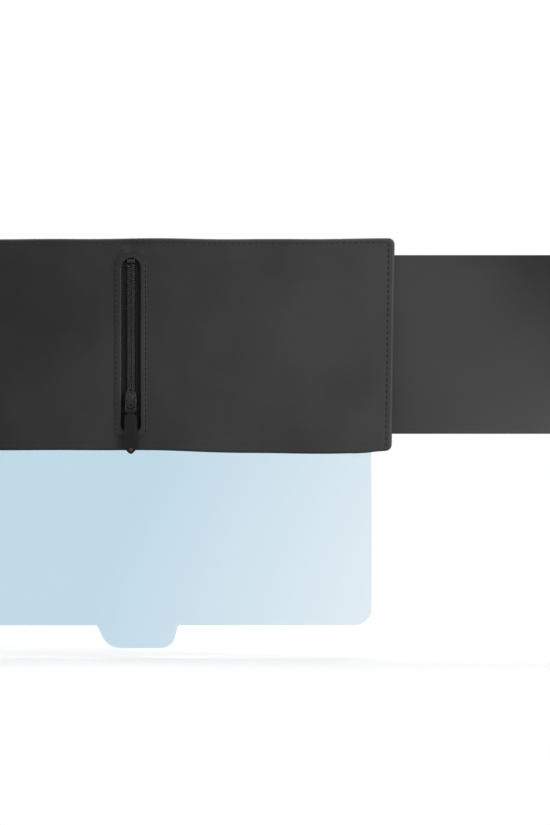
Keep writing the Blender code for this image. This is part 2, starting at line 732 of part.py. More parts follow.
def pads(side_name, centre_x, hook, loop, leather):
    """The sewn anchor patch, and the two halves of the touch fastening."""
    pad_low = -STRAP_TOP + STRAP_T + STRAP_BEND_R
    pad = rectangle(centre_x - PAD_W / 2, centre_x + PAD_W / 2, pad_low, pad_low + PAD_H, 0.002)
    anchor_top = STRAP_TOP - STRAP_T - SEAT
    anchor = rectangle(
        centre_x - ANCHOR_W / 2, centre_x + ANCHOR_W / 2, anchor_top - ANCHOR_H, anchor_top, 0.002
    )
    return (
        extruded("strap_anchor_" + side_name, anchor, PAD_SEAT, PAD_SEAT + ANCHOR_T, leather),
        extruded("loop_pad_" + side_name, pad, PAD_SEAT, LOOP_PAD_REAR, loop),
        extruded("hook_pad_" + side_name, pad, HOOK_PAD_FRONT, HOOK_PAD_REAR, hook),
    )


def build():
    """Makes every piece, and hangs it on the empty that it moves with."""
    clear_scene()
    leather = material("black leather", (0.035, 0.035, 0.037), 0.55)
    pane_tint = material("blue tint", (0.62, 0.80, 0.90), 0.05, alpha=0.45)
    shade_black = material("shade black", (0.045, 0.045, 0.047), 0.5)
    board_grey = material("board", (0.10, 0.10, 0.10), 0.7)
    rubber = material("grip rubber", (0.03, 0.03, 0.03), 0.7)
    felt = material("felt", (0.02, 0.02, 0.02), 1.0)
    foam = material("foam", (0.06, 0.06, 0.06), 0.95)
    lining = material("lining", (0.02, 0.02, 0.022), 0.9)
    tape_black = material("zip tape", (0.015, 0.015, 0.016), 0.85)
    coil_black = material("zip coil", (0.02, 0.02, 0.02), 0.4)
    metal = material("black nickel", (0.09, 0.09, 0.095), 0.22, 1.0)
    copper = material("copper", (0.45, 0.22, 0.14), 0.3, 1.0)
    elastic = material("elastic", (0.02, 0.02, 0.02), 0.9)
    hook = material("hook pad", (0.02, 0.02, 0.02), 0.6)
    loop = material("loop pad", (0.03, 0.03, 0.03), 1.0)

    sleeve = empty("sleeve", (0, 0, 0))
    hang_on(
        sleeve,
        front_cover(leather),
        back_cover(leather),
        grip_pad(rubber),
        board("rear_board", REAR_BOARD_FRONT, REAR_BOARD_REAR, board_grey),
        board("middle_board", MIDDLE_BOARD_FRONT, MIDDLE_BOARD_REAR, board_grey),
        board("front_board", FRONT_BOARD_FRONT, FRONT_BOARD_REAR, board_grey),
        pane_rail("pane_rail_left", -1, board_grey),
        pane_rail("pane_rail_right", 1, board_grey),
        shade_rail("shade_rail_top", 1, board_grey),
        shade_rail("shade_rail_bottom", -1, board_grey),
        *felts(felt),
        foam_frame(foam),
        pocket_lining(lining),
        zip_facing(leather),
        zip_tape("zip_tape_left", -1, tape_black),
        zip_tape("zip_tape_right", 1, tape_black),
        zip_coil("zip_coil_left", -1, coil_black),
        zip_coil("zip_coil_right", 1, coil_black),
        *zip_stops(metal),
    )

    pane_slide = empty("pane_slide", (0, (PANE_FRONT + PANE_REAR) / 2, PANE_TOP))
    hang_on(pane_slide, tinted_pane(pane_tint))

    shade_slide = empty("shade_slide", (SHADE_INNER_END, (SHADE_FRONT + SHADE_REAR) / 2, 0))
    hang_on(shade_slide, side_shade(shade_black))

    slider_slide = empty("slider_slide", (0, SLIDER_TOP_FRONT, SLIDER_MIDDLE))
    hang_on(slider_slide, zip_slider(metal))
    link_pivot = empty("link_pivot", (0, LINK_PIVOT_Y, LINK_PIVOT_Z))
    hang_on(link_pivot, pull_link(metal))
    pull_pivot = empty("pull_pivot", (0, LINK_PIVOT_Y, PULL_PIVOT_Z))
    hang_on(pull_pivot, leather_pull(leather), pull_rivet(copper))
    hang_on(link_pivot, pull_pivot)
    hang_on(slider_slide, link_pivot)

    for side_name, centre_x in (("left", -STRAP_CENTRE_X), ("right", STRAP_CENTRE_X)):
        anchor, loop_pad, hook_pad = pads(side_name, centre_x, hook, loop, leather)
        hang_on(sleeve, anchor, loop_pad)
        strap_pivot = empty("strap_pivot_" + side_name, (centre_x, STRAP_PIVOT_Y, STRAP_PIVOT_Z))
        hang_on(strap_pivot, strap("strap_" + side_name, centre_x, elastic), hook_pad)


build()
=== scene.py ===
"""Looks of a sun visor extender: leather sleeve, zip, sliding panels and straps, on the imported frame."""

from __future__ import annotations

import json
import logging
import math
from dataclasses import dataclass, field
from enum import Enum

import bmesh
import bpy
from mathutils import Matrix, Vector


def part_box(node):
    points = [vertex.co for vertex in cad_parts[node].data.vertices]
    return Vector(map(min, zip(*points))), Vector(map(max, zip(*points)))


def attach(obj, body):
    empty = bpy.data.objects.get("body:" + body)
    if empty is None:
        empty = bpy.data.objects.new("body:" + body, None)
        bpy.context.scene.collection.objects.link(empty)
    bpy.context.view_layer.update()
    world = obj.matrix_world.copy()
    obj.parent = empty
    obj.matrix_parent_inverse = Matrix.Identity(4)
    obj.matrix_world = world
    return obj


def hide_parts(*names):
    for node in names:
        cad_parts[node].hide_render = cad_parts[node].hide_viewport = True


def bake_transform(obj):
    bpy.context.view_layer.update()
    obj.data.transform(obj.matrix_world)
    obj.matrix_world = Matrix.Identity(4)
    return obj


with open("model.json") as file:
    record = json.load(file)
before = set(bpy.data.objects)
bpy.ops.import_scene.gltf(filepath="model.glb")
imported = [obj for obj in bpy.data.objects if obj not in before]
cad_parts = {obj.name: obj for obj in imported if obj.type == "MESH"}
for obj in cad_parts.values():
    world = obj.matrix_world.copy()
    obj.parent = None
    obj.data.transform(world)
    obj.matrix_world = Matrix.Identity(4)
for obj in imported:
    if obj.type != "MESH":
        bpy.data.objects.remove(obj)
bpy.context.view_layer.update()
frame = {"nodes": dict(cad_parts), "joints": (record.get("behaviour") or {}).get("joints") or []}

LOG = logging.getLogger("sun_visor_extender")
MM = 0.001
Colour = tuple[float, float, float]
Point = tuple[float, float]


class Side(Enum):
    """The two sides of what comes in pairs."""

    LEFT = -1
    RIGHT = 1

    @property
    def word(self) -> str:
        """The side as node names have it."""
        return self.name.lower()


# ---- Materials ----
class Graph:
    """One material's nodes, with short ways to add and join them."""

    def __init__(self, name: str) -> None:
        """Starts a material that has only its shader.

        Args:
            name: The finish's name.
        """
        self.material = bpy.data.materials.new(f"{name}_finish")
        self.material.use_nodes = True
        self.tree = self.material.node_tree
        self.shader = self.tree.nodes["Principled BSDF"]
        self.place = self.add("ShaderNodeTexCoord").outputs["Object"]

    def add(self, kind: str, **values: object) -> bpy.types.Node:
        """Adds a node.

        Args:
            kind: The node's type.
            values: Its properties, and its inputs as in_NAME with _ for each space.

        Returns:
            The node.
        """
        node = self.tree.nodes.new(kind)
        for key, value in values.items():
            if not key.startswith("in_"):
                setattr(node, key, value)
        for key, value in values.items():
            if key.startswith("in_"):
                self.feed(node.inputs[key[3:].replace("_", " ")], value)
        return node

    def feed(self, socket: bpy.types.NodeSocket, value: object) -> None:
        """Joins an output to a socket, or sets the socket's number.

        Args:
            socket: The input.
            value: An output socket or a plain value.
        """
        if isinstance(value, bpy.types.NodeSocket):
            self.tree.links.new(value, socket)
        else:
            socket.default_value = value

    def noise(self, scale: float, detail: float = 2.0, stretch: tuple = (1, 1, 1)) -> bpy.types.NodeSocket:
        """Cloudy noise.

        Args:
            scale: Clouds in a metre.
            detail: Octaves.
            stretch: How many times finer it is along each axis.

        Returns:
            The noise, about 0.5 on average.
        """
        place = self.add("ShaderNodeMapping", in_Vector=self.place, in_Scale=stretch).outputs[0]
        return self.add("ShaderNodeTexNoise", in_Vector=place, in_Scale=scale, in_Detail=detail).outputs[0]

    def cells(self, scale: float) -> bpy.types.NodeSocket:
        """Rounded cells, as in grained leather, higher in their middles.

        Args:
            scale: Cells in a metre.

        Returns:
            The height.
        """
        node = self.add(
            "ShaderNodeTexVoronoi", feature="SMOOTH_F1", in_Vector=self.place, in_Scale=scale, in_Smoothness=0.4
        )
        return self.sum("SUBTRACT", 1.0, node.outputs["Distance"])

    def waves(self, axis: str, scale: float, bend: float = 0.0) -> bpy.types.NodeSocket:
        """Even ribs across an axis.

        Args:
            axis: X, Y, Z or DIAGONAL.
            scale: Ribs in a metre, over about 3.2.
            bend: How far they wander.

        Returns:
            The ribs' height from 0 to 1.
        """
        node = self.add(
            "ShaderNodeTexWave", bands_direction=axis, in_Vector=self.place, in_Scale=scale, in_Distortion=bend
        )
        return node.outputs["Fac"]

    def sum(self, operation: str, one: object, other: object) -> bpy.types.NodeSocket:
        """A sum of two values.

        Args:
            operation: The sum, as Math nodes name it.
            one: The first value or output.
            other: The second.

        Returns:
            The result.
        """
        node = self.add("ShaderNodeMath", operation=operation)
        self.feed(node.inputs[0], one)
        self.feed(node.inputs[1], other)
        return node.outputs[0]

    def spread(self, value: bpy.types.NodeSocket, low: float, high: float) -> bpy.types.NodeSocket:
        """A value from 0.3 to 0.7, as noise gives, spread over low to high.

        Args:
            value: The value.
            low: What 0.3 becomes.
            high: What 0.7 becomes.

        Returns:
            The new value.
        """
        node = self.add("ShaderNodeMapRange", in_Value=value, in_From_Min=0.3, in_From_Max=0.7)
        node.inputs["To Min"].default_value = low
        node.inputs["To Max"].default_value = high
        return node.outputs[0]

    def tone_with_painted_light(self, scale: float, cloudiness: float, ramp: tuple[float, float, float]) -> bpy.types.NodeSocket:
        """Clouds of tone, with painted light that grows paler across a piece.

        Args:
            scale: Clouds in a metre.
            cloudiness: How strong they are.
            ramp: Painted light: how much they gain in a metre along X, in a metre along Z, and with X times Z.

        Returns:
            The clouds and the painted-light ramp together, about 0.5 on average.
        """
        axes = self.add("ShaderNodeSeparateXYZ", in_Vector=self.place).outputs
        cloud = self.sum("MULTIPLY", self.sum("SUBTRACT", self.noise(scale, 3.0), 0.5), cloudiness)
        total = self.sum("ADD", cloud, 0.5)
        # The ramp's terms are painted light, added to the random clouds of tone.
        for weight, term in zip(ramp, (axes[0], axes[2], self.sum("MULTIPLY", axes[0], axes[2]))):
            total = self.sum("ADD", total, self.sum("MULTIPLY", term, weight))
        return total

    def tint(self, value: bpy.types.NodeSocket, stops: list[tuple[float, Colour]]) -> bpy.types.NodeSocket:
        """A colour ramp.

        Args:
            value: Where on the ramp.
            stops: Each stop's place and colour.

        Returns:
            The colour.
        """
        node = self.add("ShaderNodeValToRGB", in_Fac=value)
        ramp = node.color_ramp.elements
        while len(ramp) < len(stops):
            ramp.new(0.5)
        for element, (at, colour) in zip(ramp, stops):
            element.position = at
            element.color = (*colour, 1.0)
        return node.outputs[0]

    def bump(self, height: bpy.types.NodeSocket, depth: float, under: object = None) -> bpy.types.NodeSocket:
        """Relief.

        Args:
            height: The pattern, from 0 to 1.
            depth: What 1 stands for, in metres.
            under: Relief that this is laid on.

        Returns:
            The normal.
        """
        node = self.add("ShaderNodeBump", in_Height=height, in_Distance=depth)
        if under is not None:
            self.feed(node.inputs["Normal"], under)
        return node.outputs[0]

    def set(self, **values: object) -> bpy.types.Material:
        """Sets the shader's inputs.

        Args:
            values: Each input as NAME, with _ for each space.

        Returns:
            The material.
        """
        for key, value in values.items():
            if isinstance(value, tuple) and len(value) == 3:
                value = (*value, 1.0)
            self.feed(self.shader.inputs[key.replace("_", " ")], value)
        return self.material


@dataclass(frozen=True)
class Leather:
    """Smooth coated leather with a faint grain, clouds of tone and painted light that makes it paler towards the
    right.
    """

    name: str
    dark: Colour
    light: Colour
    roughness: tuple[float, float] = (0.44, 0.56)
    grain_depth: float = 0.05 * MM
    cell_scale: float = 1100.0
    specular: float = 0.16
    # Painted light: this ramp makes the leather paler towards the right.
    ramp: tuple[float, float, float] = (1.15, -0.1, 0.6)
    cloudiness: float = 0.6

    def material(self) -> bpy.types.Material:
        """Makes the material."""
        graph = Graph(self.name)
        # Random clouds of tone plus the ramp's painted light.
        cloud = graph.tone_with_painted_light(11.0, self.cloudiness, self.ramp)
        wear = graph.noise(90.0, 4.0)
        relief = graph.bump(graph.cells(self.cell_scale), self.grain_depth)
        relief = graph.bump(graph.noise(2600.0), self.grain_depth * 0.4, relief)
        return graph.set(
            Base_Color=graph.tint(cloud, [(0.33, self.dark), (0.75, self.light)]),
            Roughness=graph.spread(wear, *self.roughness),
            Specular_IOR_Level=self.specular,
            Normal=relief,
        )


@dataclass(frozen=True)
class Cloth:
    """Woven or knitted cloth: ribs one way, and finer ribs across them."""

    name: str
    dark: Colour
    light: Colour
    ribs_across: str
    rib_scale: float
    pick_scale: float
    depth: float
    sheen: float = 0.15

    def material(self) -> bpy.types.Material:
        """Makes the material."""
        graph = Graph(self.name)
        other = "Z" if self.ribs_across == "X" else "X"
        ribs = graph.waves(self.ribs_across, self.rib_scale, 0.3)
        picks = graph.waves(other, self.pick_scale, 0.6)
        weave = graph.sum("MULTIPLY", ribs, picks)
        fuzz = graph.noise(1800.0, 3.0)
        return graph.set(
            Base_Color=graph.tint(weave, [(0.0, self.dark), (1.0, self.light)]),
            Roughness=graph.spread(fuzz, 0.75, 0.95),
            Specular_IOR_Level=0.1,
            Sheen_Weight=self.sheen,
            Normal=graph.bump(fuzz, self.depth * 0.3, graph.bump(weave, self.depth)),
        )


@dataclass(frozen=True)
class Pile:
    """Felt, foam, loops or hooks: a fine random texture with no direction."""

    name: str
    dark: Colour
    light: Colour
    scale: float
    depth: float
    sheen: float = 0.2

    def material(self) -> bpy.types.Material:
        """Makes the material."""
        graph = Graph(self.name)
        tufts = graph.cells(self.scale)
        fuzz = graph.noise(self.scale * 2.5, 4.0)
        return graph.set(
            Base_Color=graph.tint(fuzz, [(0.3, self.dark), (0.7, self.light)]),
            Roughness=graph.spread(fuzz, 0.8, 1.0),
            Specular_IOR_Level=0.1,
            Sheen_Weight=self.sheen,
            Normal=graph.bump(fuzz, self.depth * 0.5, graph.bump(tufts, self.depth)),
        )


@dataclass(frozen=True)
class Moulded:
    """Plastic, rubber or board with a fine moulded grain."""

    name: str
    dark: Colour
    light: Colour
    roughness: tuple[float, float]
    depth: float = 0.01 * MM
    specular: float = 0.2
    # Painted light: how much paler the colour grows along X, along Z and with X times Z; none by default.
    ramp: tuple[float, float, float] = (0.0, 0.0, 0.0)
    cloudiness: float = 1.0

    def material(self) -> bpy.types.Material:
        """Makes the material."""
        graph = Graph(self.name)
        # Random clouds of tone plus the ramp's painted light.
        cloud = graph.tone_with_painted_light(6.0, self.cloudiness, self.ramp)
        speckle = graph.noise(1400.0, 3.0)
        return graph.set(
            Base_Color=graph.tint(cloud, [(0.35, self.dark), (0.68, self.light)]),
            Roughness=graph.spread(speckle, *self.roughness),
            Specular_IOR_Level=self.specular,
            Normal=graph.bump(speckle, self.depth),
        )


@dataclass(frozen=True)
class Plated:
    """Plated metal with faint polishing marks."""

    name: str
    dark: Colour
    light: Colour
    roughness: tuple[float, float]

    def material(self) -> bpy.types.Material:
        """Makes the material."""
        graph = Graph(self.name)
        marks = graph.noise(500.0, 4.0, (1.0, 1.0, 6.0))
        return graph.set(
            Base_Color=graph.tint(marks, [(0.3, self.dark), (0.7, self.light)]),
            Roughness=graph.spread(marks, *self.roughness),
            Metallic=1.0,
            Normal=graph.bump(marks, 0.004 * MM),
        )


@dataclass(frozen=True)
class TintedAcrylic:
    """A clear blue-tinted sheet, with a painted reflection that makes it paler towards its lower right."""

    name: str = "tinted_acrylic"
    deep: Colour = (0.515, 0.686, 0.797)
    pale: Colour = (0.745, 0.845, 0.9)
    starts: float = 0.02
    ends: float = 0.25
    fall: float = 0.45

    def material(self) -> bpy.types.Material:
        """Makes the material."""
        graph = Graph(self.name)
        axes = graph.add("ShaderNodeSeparateXYZ", in_Vector=graph.place).outputs
        # Painted reflection: the tint runs from deep to pale towards the lower right.
        below = graph.sum("MULTIPLY", graph.sum("ADD", axes[2], 0.09), -self.fall)
        across = graph.sum("ADD", axes[0], below)
        ramp = graph.add(
            "ShaderNodeMapRange", in_Value=across, in_From_Min=self.starts, in_From_Max=self.ends
        ).outputs[0]
        tone_with_painted_light = graph.sum("ADD", ramp, graph.sum("MULTIPLY", graph.sum("SUBTRACT", graph.noise(5.0), 0.5), 0.12))
        return graph.set(
            Base_Color=graph.tint(tone_with_painted_light, [(0.0, self.deep), (1.0, self.pale)]),
            Roughness=graph.spread(graph.noise(25.0, 3.0), 0.01, 0.04),
            IOR=1.47,
            Transmission_Weight=1.0,
        )


class Finish(Enum):
    """Every finish on the object, with the record's material slot that it stands for."""

    SLEEVE = ("leather_black", Leather("sleeve_leather", (0.0150, 0.0150, 0.0155), (0.041, 0.041, 0.0415)))
    FACING = (
        "leather_black",
        Leather("facing_leather", (0.0150, 0.0150, 0.0155), (0.040, 0.040, 0.0405), (0.38, 0.5)),
    )
    PULL = (
        "pull_leather",
        Leather("pull_leather", (0.006, 0.006, 0.0065), (0.012, 0.012, 0.012), (0.45, 0.6), 0.04 * MM, 1500.0, 0.13),
    )
    THREAD = (
        "leather_black",
        Cloth("thread", (0.008, 0.008, 0.008), (0.034, 0.034, 0.034), "DIAGONAL", 900.0, 300.0, 0.05 * MM),
    )
    TAPE = (
        "zip_tape",
        Cloth("zip_tape", (0.008, 0.008, 0.008), (0.030, 0.030, 0.0305), "X", 330.0, 250.0, 0.12 * MM, 0.02),
    )
    COIL = (
        "zip_coil",
        Moulded("zip_coil", (0.016, 0.016, 0.016), (0.032, 0.032, 0.032), (0.18, 0.28), specular=0.42),
    )
    METAL = ("zip_metal", Plated("black_nickel", (0.020, 0.020, 0.021), (0.042, 0.042, 0.043), (0.12, 0.2)))
    COPPER = ("copper", Plated("copper", (0.07, 0.026, 0.018), (0.14, 0.055, 0.038), (0.25, 0.4)))
    PANE = ("pane_tint", TintedAcrylic())
    # Painted shade: the pane's edge faces get a deeper, darker tint.
    PANE_EDGE = ("pane_tint", TintedAcrylic("acrylic_edge_painted_shade", (0.20, 0.36, 0.46), (0.36, 0.50, 0.58)))
    SHADE = (
        "shade_black",
        Moulded(
            "shade_plastic",
            (0.017, 0.017, 0.0172),
            (0.074, 0.074, 0.0745),
            (0.42, 0.52),
            specular=0.13,
            # Painted light: this ramp darkens the shade at its top right and makes it paler at its lower right.
            ramp=(-0.1, 4.4, -20.0),
            cloudiness=0.2,
        ),
    )
    RUBBER = (
        "grip_rubber",
        Moulded("grip_rubber", (0.016, 0.016, 0.016), (0.024, 0.024, 0.024), (0.6, 0.75), 0.03 * MM),
    )
    BOARD = ("board", Moulded("board", (0.05, 0.05, 0.05), (0.08, 0.08, 0.08), (0.6, 0.75), 0.02 * MM))
    FELT = ("felt", Pile("felt", (0.006, 0.006, 0.006), (0.016, 0.016, 0.016), 900.0, 0.15 * MM))
    FOAM = ("foam", Pile("foam", (0.04, 0.04, 0.04), (0.07, 0.07, 0.07), 700.0, 0.2 * MM, 0.0))
    LINING = (
        "lining",
        Cloth("lining", (0.010, 0.010, 0.011), (0.02, 0.02, 0.022), "X", 450.0, 420.0, 0.05 * MM),
    )
    ELASTIC = (
        "elastic",
        Cloth("elastic", (0.006, 0.006, 0.006), (0.022, 0.022, 0.022), "X", 210.0, 330.0, 0.22 * MM),
    )
    HOOK = ("hook", Pile("hook_tape", (0.006, 0.006, 0.006), (0.028, 0.028, 0.028), 650.0, 0.45 * MM, 0.05))
    LOOP = ("loop", Pile("loop_tape", (0.010, 0.010, 0.010), (0.032, 0.032, 0.032), 450.0, 0.4 * MM, 0.45))

    @property
    def slot(self) -> str:
        """The record's material slot."""
        return self.value[0]

    def material(self) -> bpy.types.Material:
        """The finish's one material, made when it is first asked for."""
        return bpy.data.materials.get(f"{self.value[1].name}_finish") or self.value[1].material()


# ---- Making pieces ----
def soft_step(value: float, start: float, end: float) -> float:
    """0 before start, 1 after end, and a smooth rise between them.

    Args:
        value: The value.
        start: Where the rise starts.
        end: Where it ends.

    Returns:
        The share, from 0 to 1.
    """
    t = min(max((value - start) / (end - start), 0.0), 1.0)
    return t * t * (3 - 2 * t)


def arc(centre: Point, radius: float, start: float, end: float, steps: int) -> list[Point]:
    """Points on a circle's arc.

    Args:
        centre: The circle's centre.
        radius: Its radius.
        start: The first angle, in degrees.
        end: The last angle.
        steps: How many stretches.

    Returns:
        The points, ends included.
    """
    angles = [math.radians(start + (end - start) * i / steps) for i in range(steps + 1)]
    return [(centre[0] + radius * math.cos(a), centre[1] + radius * math.sin(a)) for a in angles]


def round_box(left: float, right: float, low: float, high: float, radius: float, steps: int = 8) -> list[Point]:
    """A rectangle with round corners, anticlockwise from its lower left.

    Args:
        left: Its low end across.
        right: Its high end across.
        low: Its foot.
        high: Its top.
        radius: The radius of its corners.
        steps: How many stretches make a corner.

    Returns:
        The outline.
    """
    return [
        *arc((left + radius, low + radius), radius, 180, 270, steps),
        *arc((right - radius, low + radius), radius, 270, 360, steps),
        *arc((right - radius, high - radius), radius, 0, 90, steps),
        *arc((left + radius, high - radius), radius, 90, 180, steps),
    ]


def rounded(corners: list[tuple[float, float, float]], steps: int = 8) -> list[Point]:
    """A polygon with round corners.

    Args:
        corners: Each corner's x, its z and its radius.
        steps: How many stretches make a corner.

    Returns:
        The outline.
    """
    points: list[Point] = []
    for i, (x, z, radius) in enumerate(corners):
        at = Vector((x, z))
        before = (Vector(corners[i - 1][:2]) - at).normalized()
        after = (Vector(corners[(i + 1) % len(corners)][:2]) - at).normalized()
        if radius <= 0:
            points.append((x, z))
            continue
        half = before.angle(after) / 2
        centre = at + (before + after).normalized() * radius / math.sin(half)
        start, end = (at + side * radius / math.tan(half) - centre for side in (before, after))
        turn = start.angle_signed(end)
        for k in range(steps + 1):
            spoke = start.copy()
            spoke.rotate(Matrix.Rotation(-turn * k / steps, 2))
            points.append(tuple(centre + spoke))
    return points


def even_points(path: list[Point], pitch: float, closed: bool = False) -> list[tuple[Vector, Vector]]:
    """Evenly spaced places along a path.

    Args:
        path: The path's points.
        pitch: About how far apart.
        closed: Whether it goes back to its start.

    Returns:
        Each place, with the path's direction there.
    """
    points = [Vector(p) for p in (path + path[:1] if closed else path)]
    lengths = [(b - a).length for a, b in zip(points, points[1:])]
    count = max(int(sum(lengths) / pitch), 1)
    step = sum(lengths) / count
    found, walked, wanted = [], 0.0, step / 2
    for a, b, length in zip(points, points[1:], lengths):
        while length > 0 and wanted <= walked + length:
            found.append((a.lerp(b, (wanted - walked) / length), (b - a) / length))
            wanted += step
        walked += length
    return found


def object_of(name: str, bm: bmesh.types.BMesh, angle: float = 35.0) -> bpy.types.Object:
    """Turns a bmesh into an object.

    Args:
        name: The piece's name.
        bm: Its mesh, which is freed.
        angle: Edges sharper than this stay sharp, in degrees.

    Returns:
        The object.
    """
    bmesh.ops.recalc_face_normals(bm, faces=bm.faces)
    mesh = bpy.data.meshes.new(name)
    bm.to_mesh(mesh)
    bm.free()
    mesh.shade_smooth()
    mesh.set_sharp_from_angle(angle=math.radians(angle))
    made = bpy.data.objects.new(name, mesh)
    bpy.context.scene.collection.objects.link(made)
    return made


def set_modifiers(piece: bpy.types.Object, angle: float = 35.0) -> bpy.types.Object:
    """Applies a piece's modifiers, and marks its sharp edges again.

    Args:
        piece: The piece.
        angle: Edges sharper than this stay sharp, in degrees.

    Returns:
        The piece.
    """
    bpy.context.view_layer.update()
    evaluated = piece.evaluated_get(bpy.context.evaluated_depsgraph_get())
    mesh = bpy.data.meshes.new_from_object(evaluated)
    piece.modifiers.clear()
    piece.data = mesh
    mesh.shade_smooth()
    mesh.set_sharp_from_angle(angle=math.radians(angle))
    return piece


def round_edges(piece: bpy.types.Object, width: float, segments: int = 3, angle: float = 40.0) -> bpy.types.Object:
    """Rounds a piece's sharp edges, and applies it.

    Args:
        piece: The piece.
        width: How far the rounding reaches.
        segments: How many facets make it.
        angle: Edges sharper than this are rounded, in degrees.

    Returns:
        The piece.
    """
    bevel = piece.modifiers.new("round edges", "BEVEL")
    bevel.width = width
    bevel.segments = segments
    bevel.limit_method = "ANGLE"
    bevel.angle_limit = math.radians(angle)
    bevel.use_clamp_overlap = True
    return set_modifiers(piece, angle)


def skin(bm: bmesh.types.BMesh, rings: list[list[bmesh.types.BMVert]]) -> None:
    """Joins each ring of vertices to the next with four-sided faces.

    Args:
        bm: The mesh.
        rings: The rings, all with the same number of vertices.
    """
    for one, two in zip(rings, rings[1:]):
        for i in range(len(one)):
            j = (i + 1) % len(one)
            bm.faces.new((one[i], one[j], two[j], two[i]))


def prism(name: str, outline: list[Point], low: float, high: float, along: str = "Y") -> bpy.types.Object:
    """An outline pulled through a depth.

    Args:
        name: The piece's name.
        outline: (x, z) points along Y, (y, z) along X, or (x, y) along Z.
        low: Where it starts on that axis.
        high: Where it ends.
        along: X, Y or Z.

    Returns:
        The object.
    """
    place = {
        "X": lambda u, v, w: (w, u, v),
        "Y": lambda u, v, w: (u, w, v),
        "Z": lambda u, v, w: (u, v, w),
    }[along]
    bm = bmesh.new()
    rings = [[bm.verts.new(place(u, v, w)) for u, v in outline] for w in (low, high)]
    bm.faces.new(rings[0])
    bm.faces.new(rings[1])
    skin(bm, rings)
    return object_of(name, bm)


def from_node(name: str, node: str) -> bpy.types.Object:
    """A copy of a CAD node's shape as a new piece, with flat faces whole again.

    Args:
        name: The piece's name.
        node: The CAD node's name.

    Returns:
        The object.
    """
    bm = bmesh.new()
    bm.from_mesh(frame["nodes"][node].data)
    bmesh.ops.remove_doubles(bm, verts=bm.verts, dist=1e-6)
    bmesh.ops.dissolve_limit(bm, angle_limit=math.radians(0.5), verts=bm.verts, edges=bm.edges)
    return object_of(name, bm)


def wire(name: str, points: list[Vector], radius: float, closed: bool = False, rounds: int = 3) -> bpy.types.Object:
    """A round wire along points.

    Args:
        name: The piece's name.
        points: Its centreline.
        radius: Its radius.
        closed: Whether it goes back to its start.
        rounds: How smooth its section is.

    Returns:
        The object, a mesh.
    """
    curve = bpy.data.curves.new(name, "CURVE")
    curve.dimensions = "3D"
    curve.bevel_depth = radius
    curve.bevel_resolution = rounds
    curve.use_fill_caps = True
    spline = curve.splines.new("POLY")
    spline.points.add(len(points) - 1)
    for spot, point in zip(spline.points, points):
        spot.co = (*point, 1.0)
    spline.use_cyclic_u = closed
    made = bpy.data.objects.new(name, curve)
    bpy.context.scene.collection.objects.link(made)
    bpy.context.view_layer.update()
    mesh = bpy.data.meshes.new_from_object(made.evaluated_get(bpy.context.evaluated_depsgraph_get()))
    bpy.data.objects.remove(made)
    mesh.shade_smooth()
    solid = bpy.data.objects.new(name, mesh)
    bpy.context.scene.collection.objects.link(solid)
    return solid


def cut_with(piece: bpy.types.Object, *helpers: bpy.types.Object) -> bpy.types.Object:
    """Takes each helper's shape out of a piece, and removes the helper.

    Args:
        piece: The piece.
        helpers: The shapes to take out.

    Returns:
        The piece.
    """
    for helper in helpers:
        boolean = piece.modifiers.new("cut", "BOOLEAN")
        boolean.operation = "DIFFERENCE"
        boolean.object = helper
    set_modifiers(piece)
    for helper in helpers:
        bpy.data.objects.remove(helper)
    return piece


def joined(name: str, pieces: list[bpy.types.Object], angle: float = 35.0) -> bpy.types.Object:
    """Several meshes as one object.

    Args:
        name: The new piece's name.
        pieces: The meshes, which are removed.
        angle: Edges sharper than this stay sharp, in degrees.

    Returns:
        The object.
    """
    bm = bmesh.new()
    for piece in pieces:
        bm.from_mesh(piece.data)
        bpy.data.objects.remove(piece)
    return object_of(name, bm, angle)


def dress(piece: bpy.types.Object, finish: Finish, body: str, *nodes: str) -> bpy.types.Object:
    """Gives a piece its finish, its body and the CAD nodes that it stands for.

    Args:
        piece: The piece, in place.
        finish: What it is made of.
        body: The CAD body that it moves with.
        nodes: CAD nodes that it replaces.

    Returns:
        The piece.
    """
    piece.data.materials.clear()
    piece.data.materials.append(finish.material())
    if nodes:
        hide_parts(*nodes)
    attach(piece, body)
    LOG.info("%s: %s on %s", piece.name, finish.name.lower(), body)
    return piece


@dataclass
class StitchRow:
    """A row of lockstitches on a flat face that looks along -Y or +Y."""

    pitch: float = 4.6 * MM
    gap: float = 1.2 * MM
    thread_r: float = 0.34 * MM
    rise: float = 0.16 * MM
    sides: int = 7
    rings: int = 5

    def add(self, bm: bmesh.types.BMesh, path: list[Point], face: float, out: int, closed: bool = False) -> None:
        """Adds the stitches along a path.

        Args:
            bm: Where they go.
            path: (x, z) points.
            face: The face's Y.
            out: -1 where the face looks along -Y, 1 where it looks along +Y.
            closed: Whether the path goes back to its start.
        """
        for spot, along in even_points(path, self.pitch, closed):
            self.stitch(bm, spot, along, face, out)

    def stitch(self, bm: bmesh.types.BMesh, spot: Vector, along: Vector, face: float, out: int) -> None:
        """Adds one stitch, which rises from its two holes.

        Args:
            bm: Where it goes.
            spot: Its middle, as (x, z).
            along: The row's direction there.
            face: The face's Y.
            out: Which way the face looks.
        """
        half = (self.pitch - self.gap) / 2
        across = Vector((-along.y, along.x))
        rows = []
        for i in range(self.rings + 1):
            t = -1 + 2 * i / self.rings
            swell = self.thread_r * max(1 - 0.75 * abs(t) ** 3, 0.2)
            middle = face + out * (self.rise * (1 - 2.2 * t * t))
            at = spot + along * half * t
            row = []
            for j in range(self.sides):
                turn = 2 * math.pi * j / self.sides
                side = at + across * swell * math.cos(turn)
                row.append(bm.verts.new((side.x, middle + out * swell * math.sin(turn), side.y)))
            rows.append(row)
        skin(bm, rows)
        bm.faces.new(rows[0])
        bm.faces.new(rows[-1])


